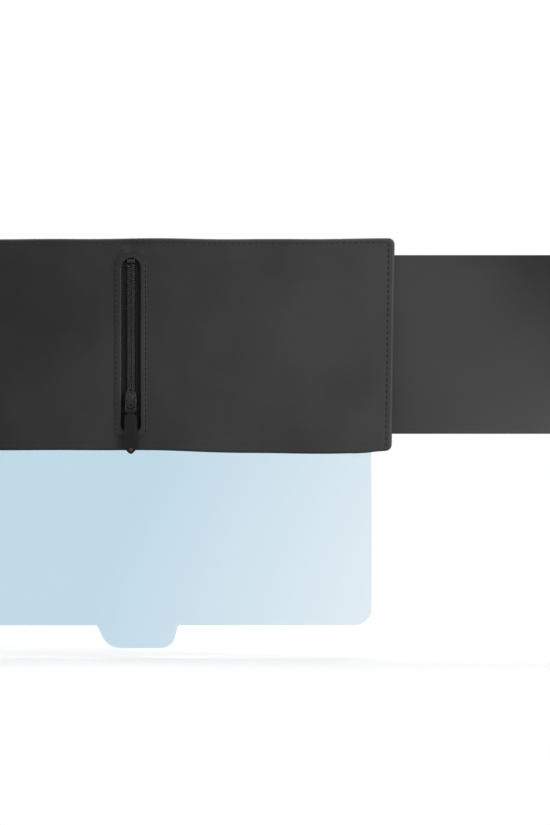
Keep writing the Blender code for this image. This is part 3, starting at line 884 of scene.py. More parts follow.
# ---- Sleeve ----
@dataclass
class Sleeve:
    """The two leathers, the stitching round them and the frame of the zip window."""

    edge_r: float = 2.2 * MM
    corner_r: float = 5.0 * MM
    leather_t: float = 1.2 * MM
    hem: float = 4.7 * MM
    groove: float = 0.1 * MM
    top_hem: float = 3.3 * MM
    crown: float = 0.55 * MM
    cell: float = 5.0 * MM
    sag: float = 2.8 * MM
    lean: float = 1.2 * MM
    slot_lip: float = 0.5 * MM
    window_w: float = 15.7 * MM
    window_foot_r: float = 4.5 * MM
    beyond: float = 8.0 * MM
    fine_cell: float = 1.4 * MM
    fine: tuple[Point, Point] = ((-24 * MM, 24 * MM), (58 * MM, 90 * MM))
    dents: tuple[tuple[float, ...], ...] = (
        (2 * MM, 77.5 * MM, 8 * MM, 3.4 * MM, -1.0 * MM),
        (-5.5 * MM, 72 * MM, 2.8 * MM, 3 * MM, 0.8 * MM),
        (7 * MM, 72 * MM, 2.6 * MM, 3.4 * MM, 0.75 * MM),
        (0.5 * MM, 72 * MM, 2 * MM, 3 * MM, -0.5 * MM),
        (-15 * MM, 64 * MM, 4 * MM, 9 * MM, -0.25 * MM),
        (15 * MM, 62 * MM, 3 * MM, 8 * MM, -0.3 * MM),
        (19 * MM, -30 * MM, 5 * MM, 14 * MM, 0.35 * MM),
    )
    stitches: StitchRow = field(default_factory=StitchRow)

    def __post_init__(self) -> None:
        """Reads the sleeve's box from the frame."""
        self.low, self.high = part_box("front_cover")
        self.rear_low, self.rear_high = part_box("back_cover")
        facing_low, facing_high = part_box("zip_facing")
        self.facing = (facing_low, facing_high)
        self.border = (facing_high.x - facing_low.x - self.window_w) / 2
        self.window_top = facing_high.z - self.border
        self.window_foot = facing_low.z + self.border

    def slump(self, point: Vector) -> Vector:
        """Where soft leather hangs: its foot sags towards the right, and its right edge leans.

        Args:
            point: A place on the sleeve as it was cut.

        Returns:
            The place that it hangs at.
        """
        middle = (self.low.x + self.high.x) / 2
        x = point.x - middle
        half = (self.high.x - self.low.x) / 2
        height = (point.z - self.low.z) / (self.high.z - self.low.z)
        foot = 1 - soft_step(height, 0.0, 0.22)
        drop = self.sag * soft_step(x, -0.05, 0.16) - 0.6 * self.sag * soft_step(x, half - 0.028, half)
        drop -= 0.25 * self.sag * soft_step(-x, 0.06, half)
        ripple = 0.0003 * math.sin(x * 34 + 1.1) + 0.0002 * math.sin(x * 71)
        top = soft_step(height, 0.75, 1.0)
        side = soft_step(abs(x), half - 0.07, half)
        lean = self.lean * (2 * height - 1) * side * (1 if x > 0 else -0.4)
        return Vector((point.x + lean, point.y, point.z - foot * drop + (foot + top) * ripple))

    def crown_at(self, x: float, z: float) -> float:
        """How far the padding lifts the front leather at a place.

        Args:
            x: The place across.
            z: Its height.

        Returns:
            The lift.
        """
        edge = min(x - self.low.x, self.high.x - x, z - self.low.z, self.high.z - z)
        lift = soft_step(edge, self.hem + 1 * MM, self.hem + 16 * MM)
        lift *= soft_step(abs(x), self.window_w / 2 + self.border, self.window_w / 2 + self.border + 14 * MM)
        wave = 0.25 * math.sin(x * 21 + z * 9) + 0.2 * math.sin(z * 47 - x * 13 + 0.7)
        return self.crown * lift * (1 + wave) + sum(self.dent(x, z, *d) for d in self.dents)

    @staticmethod
    def dent(x: float, z: float, at_x: float, at_z: float, wide: float, tall: float, rise: float) -> float:
        """How far one dent or pucker over the zip moves the leather forward at a place.

        Args:
            x: The place across.
            z: Its height.
            at_x: The dent's middle across.
            at_z: The height of its middle.
            wide: Its half width.
            tall: Its half height.
            rise: How far it lifts its middle, below 0 for a hollow.

        Returns:
            The lift.
        """
        return rise * math.exp(-(((x - at_x) / wide) ** 2) - ((z - at_z) / tall) ** 2)

    def lines(self, low: float, high: float, fine_from: float, fine_to: float) -> list[float]:
        """Cuts between two ends: a cell apart, and closer between fine_from and fine_to.

        Args:
            low: The first end.
            high: The last end.
            fine_from: Where the fine stretch starts.
            fine_to: Where it ends.

        Returns:
            The cuts, ends included.
        """
        cuts, at = [low], low
        while at < high - self.cell * 0.3:
            at += self.fine_cell if fine_from < at < fine_to else self.cell
            cuts.append(at)
        scale = (high - low) / (cuts[-1] - low)
        return [low + (cut - low) * scale for cut in cuts]

    def ring(self, inset: float, xs: list[float], zs: list[float]) -> list[Point]:
        """The sleeve's outline moved in, with the same number of points at any inset.

        Args:
            inset: How far in.
            xs: The cuts along the long sides.
            zs: The cuts along the short sides.

        Returns:
            The points, anticlockwise from the lower left corner.
        """
        left, right = self.low.x + inset, self.high.x - inset
        low, high = self.low.z + inset, self.high.z - inset
        radius = max(self.corner_r - inset, 0.0)
        steps = 6
        points: list[Point] = []
        points += arc((left + radius, low + radius), radius, 180, 270, steps)
        points += [(x, low) for x in xs[1:-1]]
        points += arc((right - radius, low + radius), radius, 270, 360, steps)
        points += [(right, z) for z in zs[1:-1]]
        points += arc((right - radius, high - radius), radius, 0, 90, steps)
        points += [(x, high) for x in reversed(xs[1:-1])]
        points += arc((left + radius, high - radius), radius, 90, 180, steps)
        points += [(left, z) for z in reversed(zs[1:-1])]
        return points

    def shell(self, name: str, profile: list[Point], face: float, lift: bool) -> bpy.types.Object:
        """A leather sheet that turns back round its edges.

        Args:
            name: The piece's name.
            profile: (inset, y) from its free edge to where the flat part starts.
            face: The flat part's Y.
            lift: Whether padding lifts the flat part.

        Returns:
            The sheet, with no thickness yet.
        """
        inset = profile[-1][0]
        fine_x, fine_z = self.fine
        xs = self.lines(self.low.x + inset, self.high.x - inset, *(fine_x if lift else (1.0, 1.0)))
        zs = self.lines(self.low.z + inset, self.high.z - inset, *(fine_z if lift else (1.0, 1.0)))
        bm = bmesh.new()
        rings = [[bm.verts.new((x, y, z)) for x, z in self.ring(i, xs, zs)] for i, y in profile]
        skin(bm, rings)
        grid = [[bm.verts.new((x, face, z)) for z in zs] for x in xs]
        for one, two in zip(grid, grid[1:]):
            for i in range(len(one) - 1):
                bm.faces.new((one[i], two[i], two[i + 1], one[i + 1]))
        bmesh.ops.remove_doubles(bm, verts=bm.verts, dist=2e-5)
        for vert in bm.verts:
            if lift and vert.co.y <= face + 0.6 * MM:
                vert.co.y -= self.crown_at(vert.co.x, vert.co.z)
            vert.co = self.slump(vert.co)
        return object_of(name, bm)

    def thicken(self, piece: bpy.types.Object, thickness: float, offset: float) -> None:
        """Gives a sheet its thickness.

        Args:
            piece: The sheet.
            thickness: How thick it gets.
            offset: -1 where it grows inwards, 1 where it grows outwards.
        """
        solid = piece.modifiers.new("thickness", "SOLIDIFY")
        solid.thickness = thickness
        solid.offset = offset
        solid.use_even_offset = True

    def front_leather(self) -> None:
        """The padded front, with its window and the mouths that the panels come out of."""
        front = self.low.y
        centre = (self.edge_r, front + self.edge_r)
        turn = [(self.edge_r - x, y) for x, y in arc((0, centre[1]), self.edge_r, 0, -90, 7)]
        hem = self.hem
        profile = [
            (0.0, self.high.y),
            (0.0, (self.high.y + centre[1]) / 2),
            *turn,
            (hem - 0.9 * MM, front - 0.05 * MM),
            (hem, front + self.groove),
            (hem + 0.9 * MM, front),
        ]
        piece = self.shell("front_leather", profile, front, True)
        self.thicken(piece, self.leather_t, -1.0)
        set_modifiers(piece)
        pane_low, pane_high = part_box("tinted_pane")
        shade_low, shade_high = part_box("side_shade")
        lip = self.slot_lip
        pane_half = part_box("pane_felt")[1].x + lip
        shade_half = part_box("shade_felt")[1].z + lip
        deep = self.leather_t + 3 * MM
        pane_mouth = round_box(
            -pane_half, pane_half, self.low.z - self.beyond, self.low.z + self.leather_t + 0.2 * MM, 0.1 * MM, 1
        )
        shade_mouth = round_box(
            self.high.x - self.leather_t - 1 * MM, self.high.x + self.beyond, -shade_half, shade_half, 0.1 * MM, 1
        )
        cut_with(
            piece,
            prism("window_cutter", self.window(0.0), front - deep, front + deep),
            prism("pane_cutter", pane_mouth, pane_low.y - lip, pane_high.y + lip),
            prism("shade_cutter", shade_mouth, shade_low.y - lip, shade_high.y + lip),
        )
        dress(piece, Finish.SLEEVE, "sleeve", "front_cover")

    def rear_leather(self) -> None:
        """The flat rear, with a rounded edge."""
        rear, front = self.rear_high.y, self.rear_low.y
        edge = (rear - front) * 0.42
        turn = [(edge - x, y) for x, y in arc((0, rear - edge), edge, 0, 90, 4)]
        hem = self.hem
        profile = [
            (0.0, front + edge),
            *turn,
            (hem - 0.9 * MM, rear),
            (hem, rear - self.groove * 0.7),
            (hem + 0.9 * MM, rear),
        ]
        piece = self.shell("rear_leather", profile, rear, False)
        self.thicken(piece, (rear - front) * 0.75, -1.0)
        set_modifiers(piece)
        dress(piece, Finish.SLEEVE, "sleeve", "back_cover")

    def window(self, grow: float) -> list[Point]:
        """The window's outline: an arch above and a squarer foot.

        Args:
            grow: How far outside the window it runs.

        Returns:
            The outline.
        """
        half = self.window_w / 2 + grow
        top, foot = self.window_top + grow, self.window_foot - grow
        foot_r = self.window_foot_r - grow * 0.15
        count = 40
        climb = [foot + foot_r + (top - half - foot - foot_r) * i / count for i in range(1, count)]
        sway = [0.04 * max(grow, 0.0) * math.sin(z * 210 + 1.0 + 0.6 * math.sin(z * 530)) for z in climb]
        return [
            *arc((half - foot_r, foot + foot_r), foot_r, 270, 360, 8),
            *[(half + s, z) for s, z in zip(sway, climb)],
            *arc((0.0, top - half), half, 0, 180, 18),
            *[(-half + s, z) for s, z in reversed(list(zip(sway, climb)))],
            *arc((-half + foot_r, foot + foot_r), foot_r, 180, 270, 8),
        ]

    def window_frame(self) -> None:
        """The leather frame sewn round the window, with a rolled inner edge."""
        low, high = self.facing
        front, rear = low.y, high.y
        profile = [
            (self.border, rear),
            (self.border - 0.05 * MM, front + 0.12 * MM),
            (self.border - 0.25 * MM, front),
            (self.border - 0.6 * MM, front),
            (self.border - 1.1 * MM, front + 0.28 * MM),
            (self.border - 1.6 * MM, front),
            (1.1 * MM, front - 0.10 * MM),
            (0.35 * MM, front - 0.12 * MM),
            (-0.10 * MM, front + 0.05 * MM),
            (-0.28 * MM, front + 0.45 * MM),
            (-0.28 * MM, rear + 1.0 * MM),
            (-0.08 * MM, rear + 1.0 * MM),
            (-0.08 * MM, rear),
        ]
        bm = bmesh.new()
        rings = [[bm.verts.new((x, y, z)) for x, z in self.window(g)] for g, y in profile]
        skin(bm, rings + rings[:1])
        dress(object_of("window_frame", bm, 60), Finish.FACING, "sleeve", "zip_facing")
        bm = bmesh.new()
        row = StitchRow(pitch=4.0 * MM, gap=0.9 * MM)
        row.add(bm, self.window(self.border - 1.1 * MM), front + 0.2 * MM, -1, True)
        dress(object_of("window_stitching", bm, 60), Finish.THREAD, "sleeve")

    def stitching(self) -> None:
        """Thread along the top and both ends in front, and all round the rear."""
        for name, face, out in (("front_stitching", self.low.y, -1), ("rear_stitching", self.rear_high.y, 1)):
            left, right = self.low.x + self.hem, self.high.x - self.hem
            low, high = self.low.z + self.hem, self.high.z - self.hem
            if out < 0:
                high = self.high.z - self.top_hem
            foot = low - self.hem * 0.35 if out < 0 else low
            path = [(left, foot), (left, high), (right, high), (right, foot)]
            dense = self.dense(path if out < 0 else path + [(left, foot)])
            hung = [self.slump(Vector((x, face, z))) for x, z in dense]
            bm = bmesh.new()
            depth = face - out * self.groove * 0.55
            self.stitches.add(bm, [(p.x, p.z) for p in hung], depth, out)
            dress(object_of(name, bm, 60), Finish.THREAD, "sleeve")

    def dense(self, path: list[Point]) -> list[Point]:
        """The same path with points about 8 mm apart.

        Args:
            path: The path's corners.

        Returns:
            The points.
        """
        points = [path[0]]
        for a, b in zip(path, path[1:]):
            count = max(int(math.dist(a, b) / (8 * MM)), 1)
            points += [
                (a[0] + (b[0] - a[0]) * i / count, a[1] + (b[1] - a[1]) * i / count) for i in range(1, count + 1)
            ]
        return points

    def build(self) -> None:
        """Builds the sleeve's pieces."""
        self.front_leather()
        self.rear_leather()
        self.window_frame()
        self.stitching()


# ---- Grip pad ----
@dataclass
class GripPad:
    """A rubber pad with low ridges, and a smooth rim."""

    rim: float = 4.0 * MM
    ridge_pitch: float = 5.0 * MM
    ridge_w: float = 2.4 * MM
    valley: float = 0.4 * MM

    def build(self) -> None:
        """Builds the pad."""
        low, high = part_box("grip_pad")
        base = prism(
            "grip_pad_base", round_box(low.x, high.x, low.z, high.z, 5 * MM), low.y, high.y - self.valley
        )
        round_edges(base, 0.12 * MM, 2)
        rim_out = round_box(low.x + 0.3 * MM, high.x - 0.3 * MM, low.z + 0.3 * MM, high.z - 0.3 * MM, 4.7 * MM)
        rim_in = round_box(
            low.x + self.rim, high.x - self.rim, low.z + self.rim, high.z - self.rim, 1.5 * MM
        )
        bm = bmesh.new()
        deep = high.y - self.valley - 0.05 * MM
        rings = [
            [bm.verts.new((x, y, z)) for x, z in loop]
            for loop, y in ((rim_out, deep), (rim_out, high.y), (rim_in, high.y), (rim_in, deep))
        ]
        skin(bm, rings + rings[:1])
        pieces = [base, round_edges(object_of("grip_pad_rim", bm), 0.1 * MM, 2)]
        inner_low, inner_high = low.z + self.rim, high.z - self.rim
        count = int((inner_high - inner_low) / self.ridge_pitch)
        pitch = (inner_high - inner_low) / count
        for i in range(count):
            middle = inner_low + (i + 0.5) * pitch
            outline = round_box(
                low.x + self.rim + 1.2 * MM,
                high.x - self.rim - 1.2 * MM,
                middle - self.ridge_w / 2,
                middle + self.ridge_w / 2,
                self.ridge_w / 2.05,
                5,
            )
            pieces.append(round_edges(prism(f"ridge_{i}", outline, deep, high.y), 0.12 * MM, 2))
        dress(joined("grip_pad_rubber", pieces), Finish.RUBBER, "sleeve", "grip_pad")


# ---- Zip ----
@dataclass
class Zip:
    """Woven tapes, the two coils sewn to them and the chain's metal stops."""

    wire_r: float = 0.36 * MM
    turn_pitch: float = 1.55 * MM
    turn_points: int = 12
    head_overlap: float = 0.12 * MM
    bead: float = 0.28 * MM
    seam_pitch: float = 1.55 * MM

    def tape(self, side: Side) -> None:
        """One tape, thicker where the coil is sewn on.

        Args:
            side: Which tape.
        """
        low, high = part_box(f"zip_tape_{side.word}")
        near, far = (low.x, high.x) if side is Side.RIGHT else (high.x, low.x)
        s = side.value
        front, rear, bead = low.y, high.y, self.bead
        outline = [
            (near, rear),
            (near, front),
            (near + s * 2.7 * MM, front),
            (near + s * 3.1 * MM, front - bead),
            (near + s * 3.9 * MM, front - bead),
            (near + s * 4.3 * MM, front),
            (near + s * 5.6 * MM, front + 0.05 * MM),
            (near + s * 6.0 * MM, front - 0.08 * MM),
            (near + s * 6.5 * MM, front + 0.05 * MM),
            (far, front),
            (far, rear),
        ]
        piece = round_edges(prism(f"woven_tape_{side.word}", outline, low.z, high.z, "Z"), 0.1 * MM, 2)
        dress(piece, Finish.TAPE, "sleeve", f"zip_tape_{side.word}")

    def coil(self, side: Side) -> None:
        """One coil: a nylon wire wound flat, whose heads reach to the middle.

        Args:
            side: Which coil.
        """
        low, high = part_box(f"zip_coil_{side.word}")
        s = side.value
        head = -self.head_overlap + self.wire_r
        root = max(abs(low.x), abs(high.x)) - self.wire_r
        wide = (root - head) / 2
        deep = (high.y - low.y) / 2 - self.wire_r
        middle_x = s * (head + root) / 2
        middle_y = (low.y + high.y) / 2
        count = int((high.z - low.z - 2 * self.wire_r) / self.turn_pitch * self.turn_points)
        shift = 0.0 if side is Side.LEFT else self.turn_pitch / 2
        points = []
        for i in range(count - self.turn_points // 2):
            turn = 2 * math.pi * i / self.turn_points
            z = low.z + self.wire_r + shift + self.turn_pitch * i / self.turn_points
            points.append(Vector((middle_x - s * wide * math.cos(turn), middle_y - deep * math.sin(turn), z)))
        piece = wire(f"nylon_coil_{side.word}", points, self.wire_r, rounds=2)
        dress(piece, Finish.COIL, "sleeve", f"zip_coil_{side.word}")

    def seams(self) -> None:
        """The thread that holds each coil down: one row on each side."""
        low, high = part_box("zip_coil_left")
        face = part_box("zip_tape_left")[0].y
        bm = bmesh.new()
        row = StitchRow(pitch=self.seam_pitch, gap=0.3 * MM, thread_r=0.16 * MM, rise=0.1 * MM, sides=6, rings=4)
        for side in Side:
            x = side.value * 4.1 * MM
            row.add(bm, [(x, low.z), (x, high.z)], face - self.bead, -1)
        dress(object_of("coil_seams", bm, 60), Finish.THREAD, "sleeve")

    def stops(self) -> None:
        """The box at the head of the chain and the two clips at its foot."""
        for node, width in (
            ("zip_box_stop", 0.35 * MM),
            ("zip_end_stop_left", 0.4 * MM),
            ("zip_end_stop_right", 0.4 * MM),
        ):
            piece = round_edges(from_node(f"{node}_metal", node), width, 4)
            dress(piece, Finish.METAL, "sleeve", node)

    def build(self) -> None:
        """Builds the zip's fixed pieces."""
        for side in Side:
            self.tape(side)
            self.coil(side)
        self.seams()
        self.stops()


# ---- Slider and pull ----
@dataclass
class SliderAndPull:
    """The black nickel slider, its wire link, and the leather pull with its rivet."""

    plate_t: float = 0.9 * MM
    wing_t: float = 0.6 * MM
    tail_w: float = 7.8 * MM
    bridge_w: float = 3.0 * MM
    bridge_wall: float = 0.8 * MM
    bridge_foot: float = 5.0 * MM
    eye_r: float = 1.1 * MM
    wire_r: float = 0.6 * MM

    def __post_init__(self) -> None:
        """Reads the slider's box and the two joints from the frame."""
        self.low, self.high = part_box("zip_slider")
        joints = {joint["name"]: joint for joint in frame["joints"]}
        self.pivot = Vector(joints["link_swing"]["pos_m"])
        self.pull_pivot = Vector(joints["pull_swing"]["pos_m"])
        self.top_front = self.pivot.y + self.eye_r

    def plate_outline(self, inset: float = 0.0) -> list[Point]:
        """A slider plate: round at its wide foot, narrower at its head.

        Args:
            inset: How far inside the plate it runs.

        Returns:
            The outline.
        """
        foot, head = self.high.x - inset, self.tail_w / 2 - inset
        low, high = self.low.z + inset, self.high.z - inset
        shoulder = low + 4.6 * MM
        return [
            *arc((0.0, shoulder), foot * 1.08, 232, 308, 12),
            (foot, shoulder),
            *arc((head - 1.6 * MM, high - 1.6 * MM), 1.6 * MM, 0, 90, 6),
            *arc((-head + 1.6 * MM, high - 1.6 * MM), 1.6 * MM, 90, 180, 6),
            (-foot, shoulder),
        ]

    def slider(self) -> None:
        """Two plates, the wings that fold down beside the chain, the neck and the bridge."""
        front = self.top_front
        top = round_edges(prism("top_plate", self.plate_outline(), front, front + self.plate_t), 0.38 * MM, 4)
        boss_outline = self.plate_outline(1.5 * MM)
        boss = round_edges(prism("boss", boss_outline, front - 0.25 * MM, front + 0.3 * MM), 0.22 * MM, 3)
        sole = round_edges(
            prism("sole_plate", self.plate_outline(), self.high.y - self.plate_t, self.high.y), 0.3 * MM, 3
        )
        wings = []
        for side in Side:
            s = side.value
            foot, head = self.high.x - 0.15 * MM, self.tail_w / 2 - 0.1 * MM
            outline = [
                (s * foot, self.low.z + 4.6 * MM),
                (s * head, self.high.z - 1.4 * MM),
                (s * (head - self.wing_t), self.high.z - 1.4 * MM),
                (s * (foot - self.wing_t), self.low.z + 4.6 * MM),
            ]
            wing = prism(f"wing_{side.word}", outline, front + 0.4 * MM, front + 2.6 * MM)
            wings.append(round_edges(wing, 0.15 * MM, 2))
        neck = prism(
            "neck",
            round_box(-0.28 * MM, 0.28 * MM, self.low.z + 0.6 * MM, self.low.z + 3.0 * MM, 0.2 * MM, 3),
            front + 0.4 * MM,
            self.high.y - 0.4 * MM,
        )
        dress(
            joined("slider_metal", [top, boss, sole, *wings, neck, self.bridge()]),
            Finish.METAL,
            "slider",
            "zip_slider",
        )

    def bridge(self) -> bpy.types.Object:
        """The arched bridge that the link hangs from.

        Returns:
            The bridge.
        """
        middle = (self.pivot.y, self.pivot.z)
        steps = 14
        outer, inner = [], []
        for i in range(steps + 1):
            t = math.pi * i / steps
            outer.append(self.bridge_point(middle, t, self.eye_r + self.bridge_wall, self.bridge_foot))
            inner.append(self.bridge_point(middle, t, self.eye_r, self.bridge_foot - self.bridge_wall * 1.1))
        band = prism("bridge", outer + inner[::-1], -self.bridge_w / 2, self.bridge_w / 2, "X")
        return round_edges(band, 0.3 * MM, 4)

    def bridge_point(self, middle: Point, turn: float, rise: float, reach: float) -> Point:
        """A point on a flattened arch that stands on the top plate.

        Args:
            middle: The eye's centre, as (y, z).
            turn: From 0 at its foot to half a turn at its head.
            rise: How far it stands over the eye's centre.
            reach: Half its length.

        Returns:
            The point as (y, z).
        """
        base = self.top_front + 0.2 * MM
        height = rise + (base - middle[0])
        flat = abs(math.sin(turn)) ** 0.62
        return (base - height * flat, middle[1] - reach * math.cos(turn))

    def link(self) -> None:
        """The wire loop between the bridge and the pull."""
        low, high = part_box("pull_link")
        r = self.wire_r
        loop = round_box(low.x + r, high.x - r, low.z + r, high.z - r, 1.5 * r, 6)
        points = [Vector((x, self.pivot.y, z)) for x, z in loop]
        dress(wire("link_wire", points, r, True, 4), Finish.METAL, "link", "pull_link")

    def pull(self) -> None:
        """The leather strip, its thread and its rivet."""
        piece = round_edges(from_node("pull_strip", "leather_pull"), 0.32 * MM, 3, 50)
        dress(piece, Finish.PULL, "puller", "leather_pull")
        low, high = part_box("leather_pull")
        rivet_low, rivet_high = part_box("pull_rivet")
        front = self.pull_pivot.y - 0.9 * MM
        rear = self.pull_pivot.y + 0.9 * MM
        head = self.pull_pivot.z - 5.0 * MM
        top_half, low_half = 3.5 * MM, 4.35 * MM
        foot = rivet_high.z + 2.4 * MM
        path = [
            (-low_half * 0.45, rivet_low.z - 0.3 * MM),
            (-low_half * 0.95, foot),
            (-top_half, head),
            (top_half, head),
            (low_half * 0.95, foot),
            (low_half * 0.45, rivet_low.z - 0.3 * MM),
        ]
        bm = bmesh.new()
        row = StitchRow(pitch=1.9 * MM, gap=0.45 * MM, thread_r=0.2 * MM, rise=0.12 * MM)
        row.add(bm, path, front, -1)
        row.add(bm, path, rear, 1)
        dress(object_of("pull_stitching", bm, 60), Finish.THREAD, "puller")
        rivet = round_edges(from_node("rivet_copper", "pull_rivet"), 0.12 * MM, 3, 30)
        dress(rivet, Finish.COPPER, "puller", "pull_rivet")

    def build(self) -> None:
        """Builds the slider's pieces."""
        self.slider()
        self.link()
        self.pull()


# ---- Panels ----
@dataclass
class Panels:
    """The see-through pane and the opaque shade, with polished edges."""

    pane_edge: float = 0.3 * MM
    shade_edge: float = 0.3 * MM
    lug_w: float = 4.0 * MM
    lug_h: float = 10.0 * MM
    tab_h: float = 18.0 * MM
    corner_r: float = 13.0 * MM
    tab_root: Point = (-26.9 * MM, 36.6 * MM)
    tab_foot: Point = (-18.0 * MM, 31.8 * MM)
    tab_r: Point = (15.5 * MM, 11.5 * MM)
    root_r: float = 1.5 * MM

    def pane_outline(self, low: Vector, high: Vector) -> list[Point]:
        """The pane's outline: two lugs at its head, and a pull tab that slopes more on its left.

        Args:
            low: The low corner of the pane's box.
            high: Its high corner.

        Returns:
            The outline, anticlockwise from the upper left.
        """
        left, right = low.x + self.lug_w, high.x - self.lug_w
        edge, lug = low.z + self.tab_h, high.z - self.lug_h
        return rounded(
            [
                (low.x, high.z, 0.0),
                (low.x, lug, 0.0),
                (left, lug, 0.0),
                (left, edge, self.corner_r),
                (self.tab_root[0], edge, self.root_r),
                (self.tab_foot[0], low.z, self.tab_r[0]),
                (self.tab_foot[1], low.z, self.tab_r[1]),
                (self.tab_root[1], edge, self.root_r),
                (right, edge, self.corner_r),
                (right, lug, 0.0),
                (high.x, lug, 0.0),
                (high.x, high.z, 0.0),
            ]
        )

    def build(self) -> None:
        """Builds both panels."""
        low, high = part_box("tinted_pane")
        pane = round_edges(prism("pane_sheet", self.pane_outline(low, high), low.y, high.y), self.pane_edge, 3, 60)
        dress(pane, Finish.PANE, "pane", "tinted_pane")
        # The edge faces take the darker tint of painted shade.
        pane.data.materials.append(Finish.PANE_EDGE.material())
        for face in pane.data.polygons:
            face.material_index = int(abs(face.normal.y) < 0.9)
        shade = round_edges(from_node("shade_sheet", "side_shade"), self.shade_edge, 3, 60)
        dress(shade, Finish.SHADE, "shade", "side_shade")


# ---- Straps ----
@dataclass
class Strap:
    """One elastic strap, with its sewn anchor and its two fastening pads."""

    side: Side
    thickness: float = 1.5 * MM
    bend_r: float = 5.0 * MM
    bow: float = 0.7 * MM
    root_end: float = 2.6 * MM

    def __post_init__(self) -> None:
        """Reads the strap's box from the frame."""
        word = self.side.word
        self.low, self.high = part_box(f"strap_{word}")
        self.anchor_low, self.anchor_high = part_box(f"strap_anchor_{word}")
        self.pad_low, self.pad_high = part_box(f"hook_pad_{word}")
        self.body = f"{word}_strap"

    def band(self, name: str, path: list[Point], width: float) -> bpy.types.Object:
        """A flat woven band along a (y, z) path, with rounded edges and faint ribs.

        Args:
            name: The piece's name.
            path: Its middle line.
            width: How wide it is, along X.

        Returns:
            The object.
        """
        half_t = self.thickness / 2
        middle = (self.low.x + self.high.x) / 2
        bevel = 0.45 * MM
        across = [-width / 2, -width / 2 + bevel * 0.3, -width / 2 + bevel]
        ribs = 12
        inner = [-width / 2 + bevel + (width - 2 * bevel) * i / ribs for i in range(1, ribs)]
        across += inner + [width / 2 - bevel, width / 2 - bevel * 0.3, width / 2]
        shrink = [0.35, 0.8, 1.0] + [1.0 if i % 2 else 0.93 for i in range(1, ribs)] + [1.0, 0.8, 0.35]
        bm = bmesh.new()
        rows = []
        for i, point in enumerate(path):
            before, after = Vector(path[max(i - 1, 0)]), Vector(path[min(i + 1, len(path) - 1)])
            along = (after - before).normalized()
            normal = Vector((-along.y, along.x))
            ring = []
            for sign in (1, -1):
                order = range(len(across)) if sign > 0 else reversed(range(len(across)))
                for k in order:
                    p = Vector(point) + normal * sign * half_t * shrink[k]
                    ring.append(bm.verts.new((middle + across[k], p.x, p.y)))
            rows.append(ring)
        skin(bm, rows)
        bm.faces.new(rows[0])
        bm.faces.new(rows[-1])
        return object_of(name, bm, 50)

    def corner(self, centre: Point, radius: float, start: float) -> list[Point]:
        """A quarter turn of the band's middle line, clockwise.

        Args:
            centre: The turn's centre, as (y, z).
            radius: Its radius.
            start: Its first angle, in degrees.

        Returns:
            The points.
        """
        return arc(centre, radius, start, start - 90, 8)

    def loop_path(self) -> list[Point]:
        """The strap's middle line: back, down behind the visor, and up to its pad.

        Returns:
            Its (y, z) points.
        """
        half_t = self.thickness / 2
        top, foot = self.high.z - half_t, self.low.z + half_t
        rear = self.high.y - half_t
        front = self.pad_high.y + 0.2 * MM + half_t
        r = self.bend_r
        path = [(self.root_end, top)]
        path += self.corner((rear - r, top - r), r, 90)
        count = 14
        for i in range(1, count):
            t = i / count
            bow = self.bow * math.sin(math.pi * t)
            path.append((rear + bow, top - r + (foot - top + 2 * r) * t))
        path += self.corner((rear - r, foot + r), r, 0)
        path += self.corner((front + r, foot + r), r, 270)
        flap_top = self.pad_high.z + (self.pad_low.z - foot) * 0.4
        return [*path, (front, (foot + flap_top) / 2), (front, flap_top)]

    def root_path(self) -> list[Point]:
        """From under the anchor, up over its top edge and back.

        Returns:
            The (y, z) points of the middle line.
        """
        half_t = self.thickness / 2
        top = self.high.z - half_t
        near = self.anchor_low.y + 0.55 * MM
        r = 1.1 * MM
        path = [(near, self.anchor_high.z - 3 * MM), (near, top - r)]
        path += self.corner((near + r, top - r), r, 180)
        return [*path, (1.2 * MM, top), (2.0 * MM, top), (self.root_end + 0.4 * MM, top)]

    def x_box(self, left: float, right: float, low: float, high: float) -> list[list[Point]]:
        """The rectangle and the cross that hold a webbing end.

        Args:
            left: Their left end.
            right: Their right end.
            low: Their foot.
            high: Their top.

        Returns:
            Each row of stitches as its own path.
        """
        return [
            [(left, low), (right, low), (right, high), (left, high), (left, low)],
            [(left, low), (right, high)],
            [(left, high), (right, low)],
        ]

    def build(self) -> None:
        """Builds the strap's pieces."""
        word = self.side.word
        width = self.high.x - self.low.x
        loop = self.band(f"elastic_{word}", self.loop_path(), width)
        dress(loop, Finish.ELASTIC, self.body, f"strap_{word}")
        root = self.band(f"elastic_root_{word}", self.root_path(), width - 0.2 * MM)
        root.data.materials.append(Finish.ELASTIC.material())
        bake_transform(root)
        anchor = round_edges(from_node(f"anchor_patch_{word}", f"strap_anchor_{word}"), 0.3 * MM, 3)
        dress(anchor, Finish.FACING, "sleeve", f"strap_anchor_{word}")
        for name, node, finish, body in (
            ("hook_tape", "hook_pad", Finish.HOOK, self.body),
            ("loop_tape", "loop_pad", Finish.LOOP, "sleeve"),
        ):
            pad = round_edges(from_node(f"{name}_{word}", f"{node}_{word}"), 0.2 * MM, 2)
            dress(pad, finish, body, f"{node}_{word}")
        self.threads()

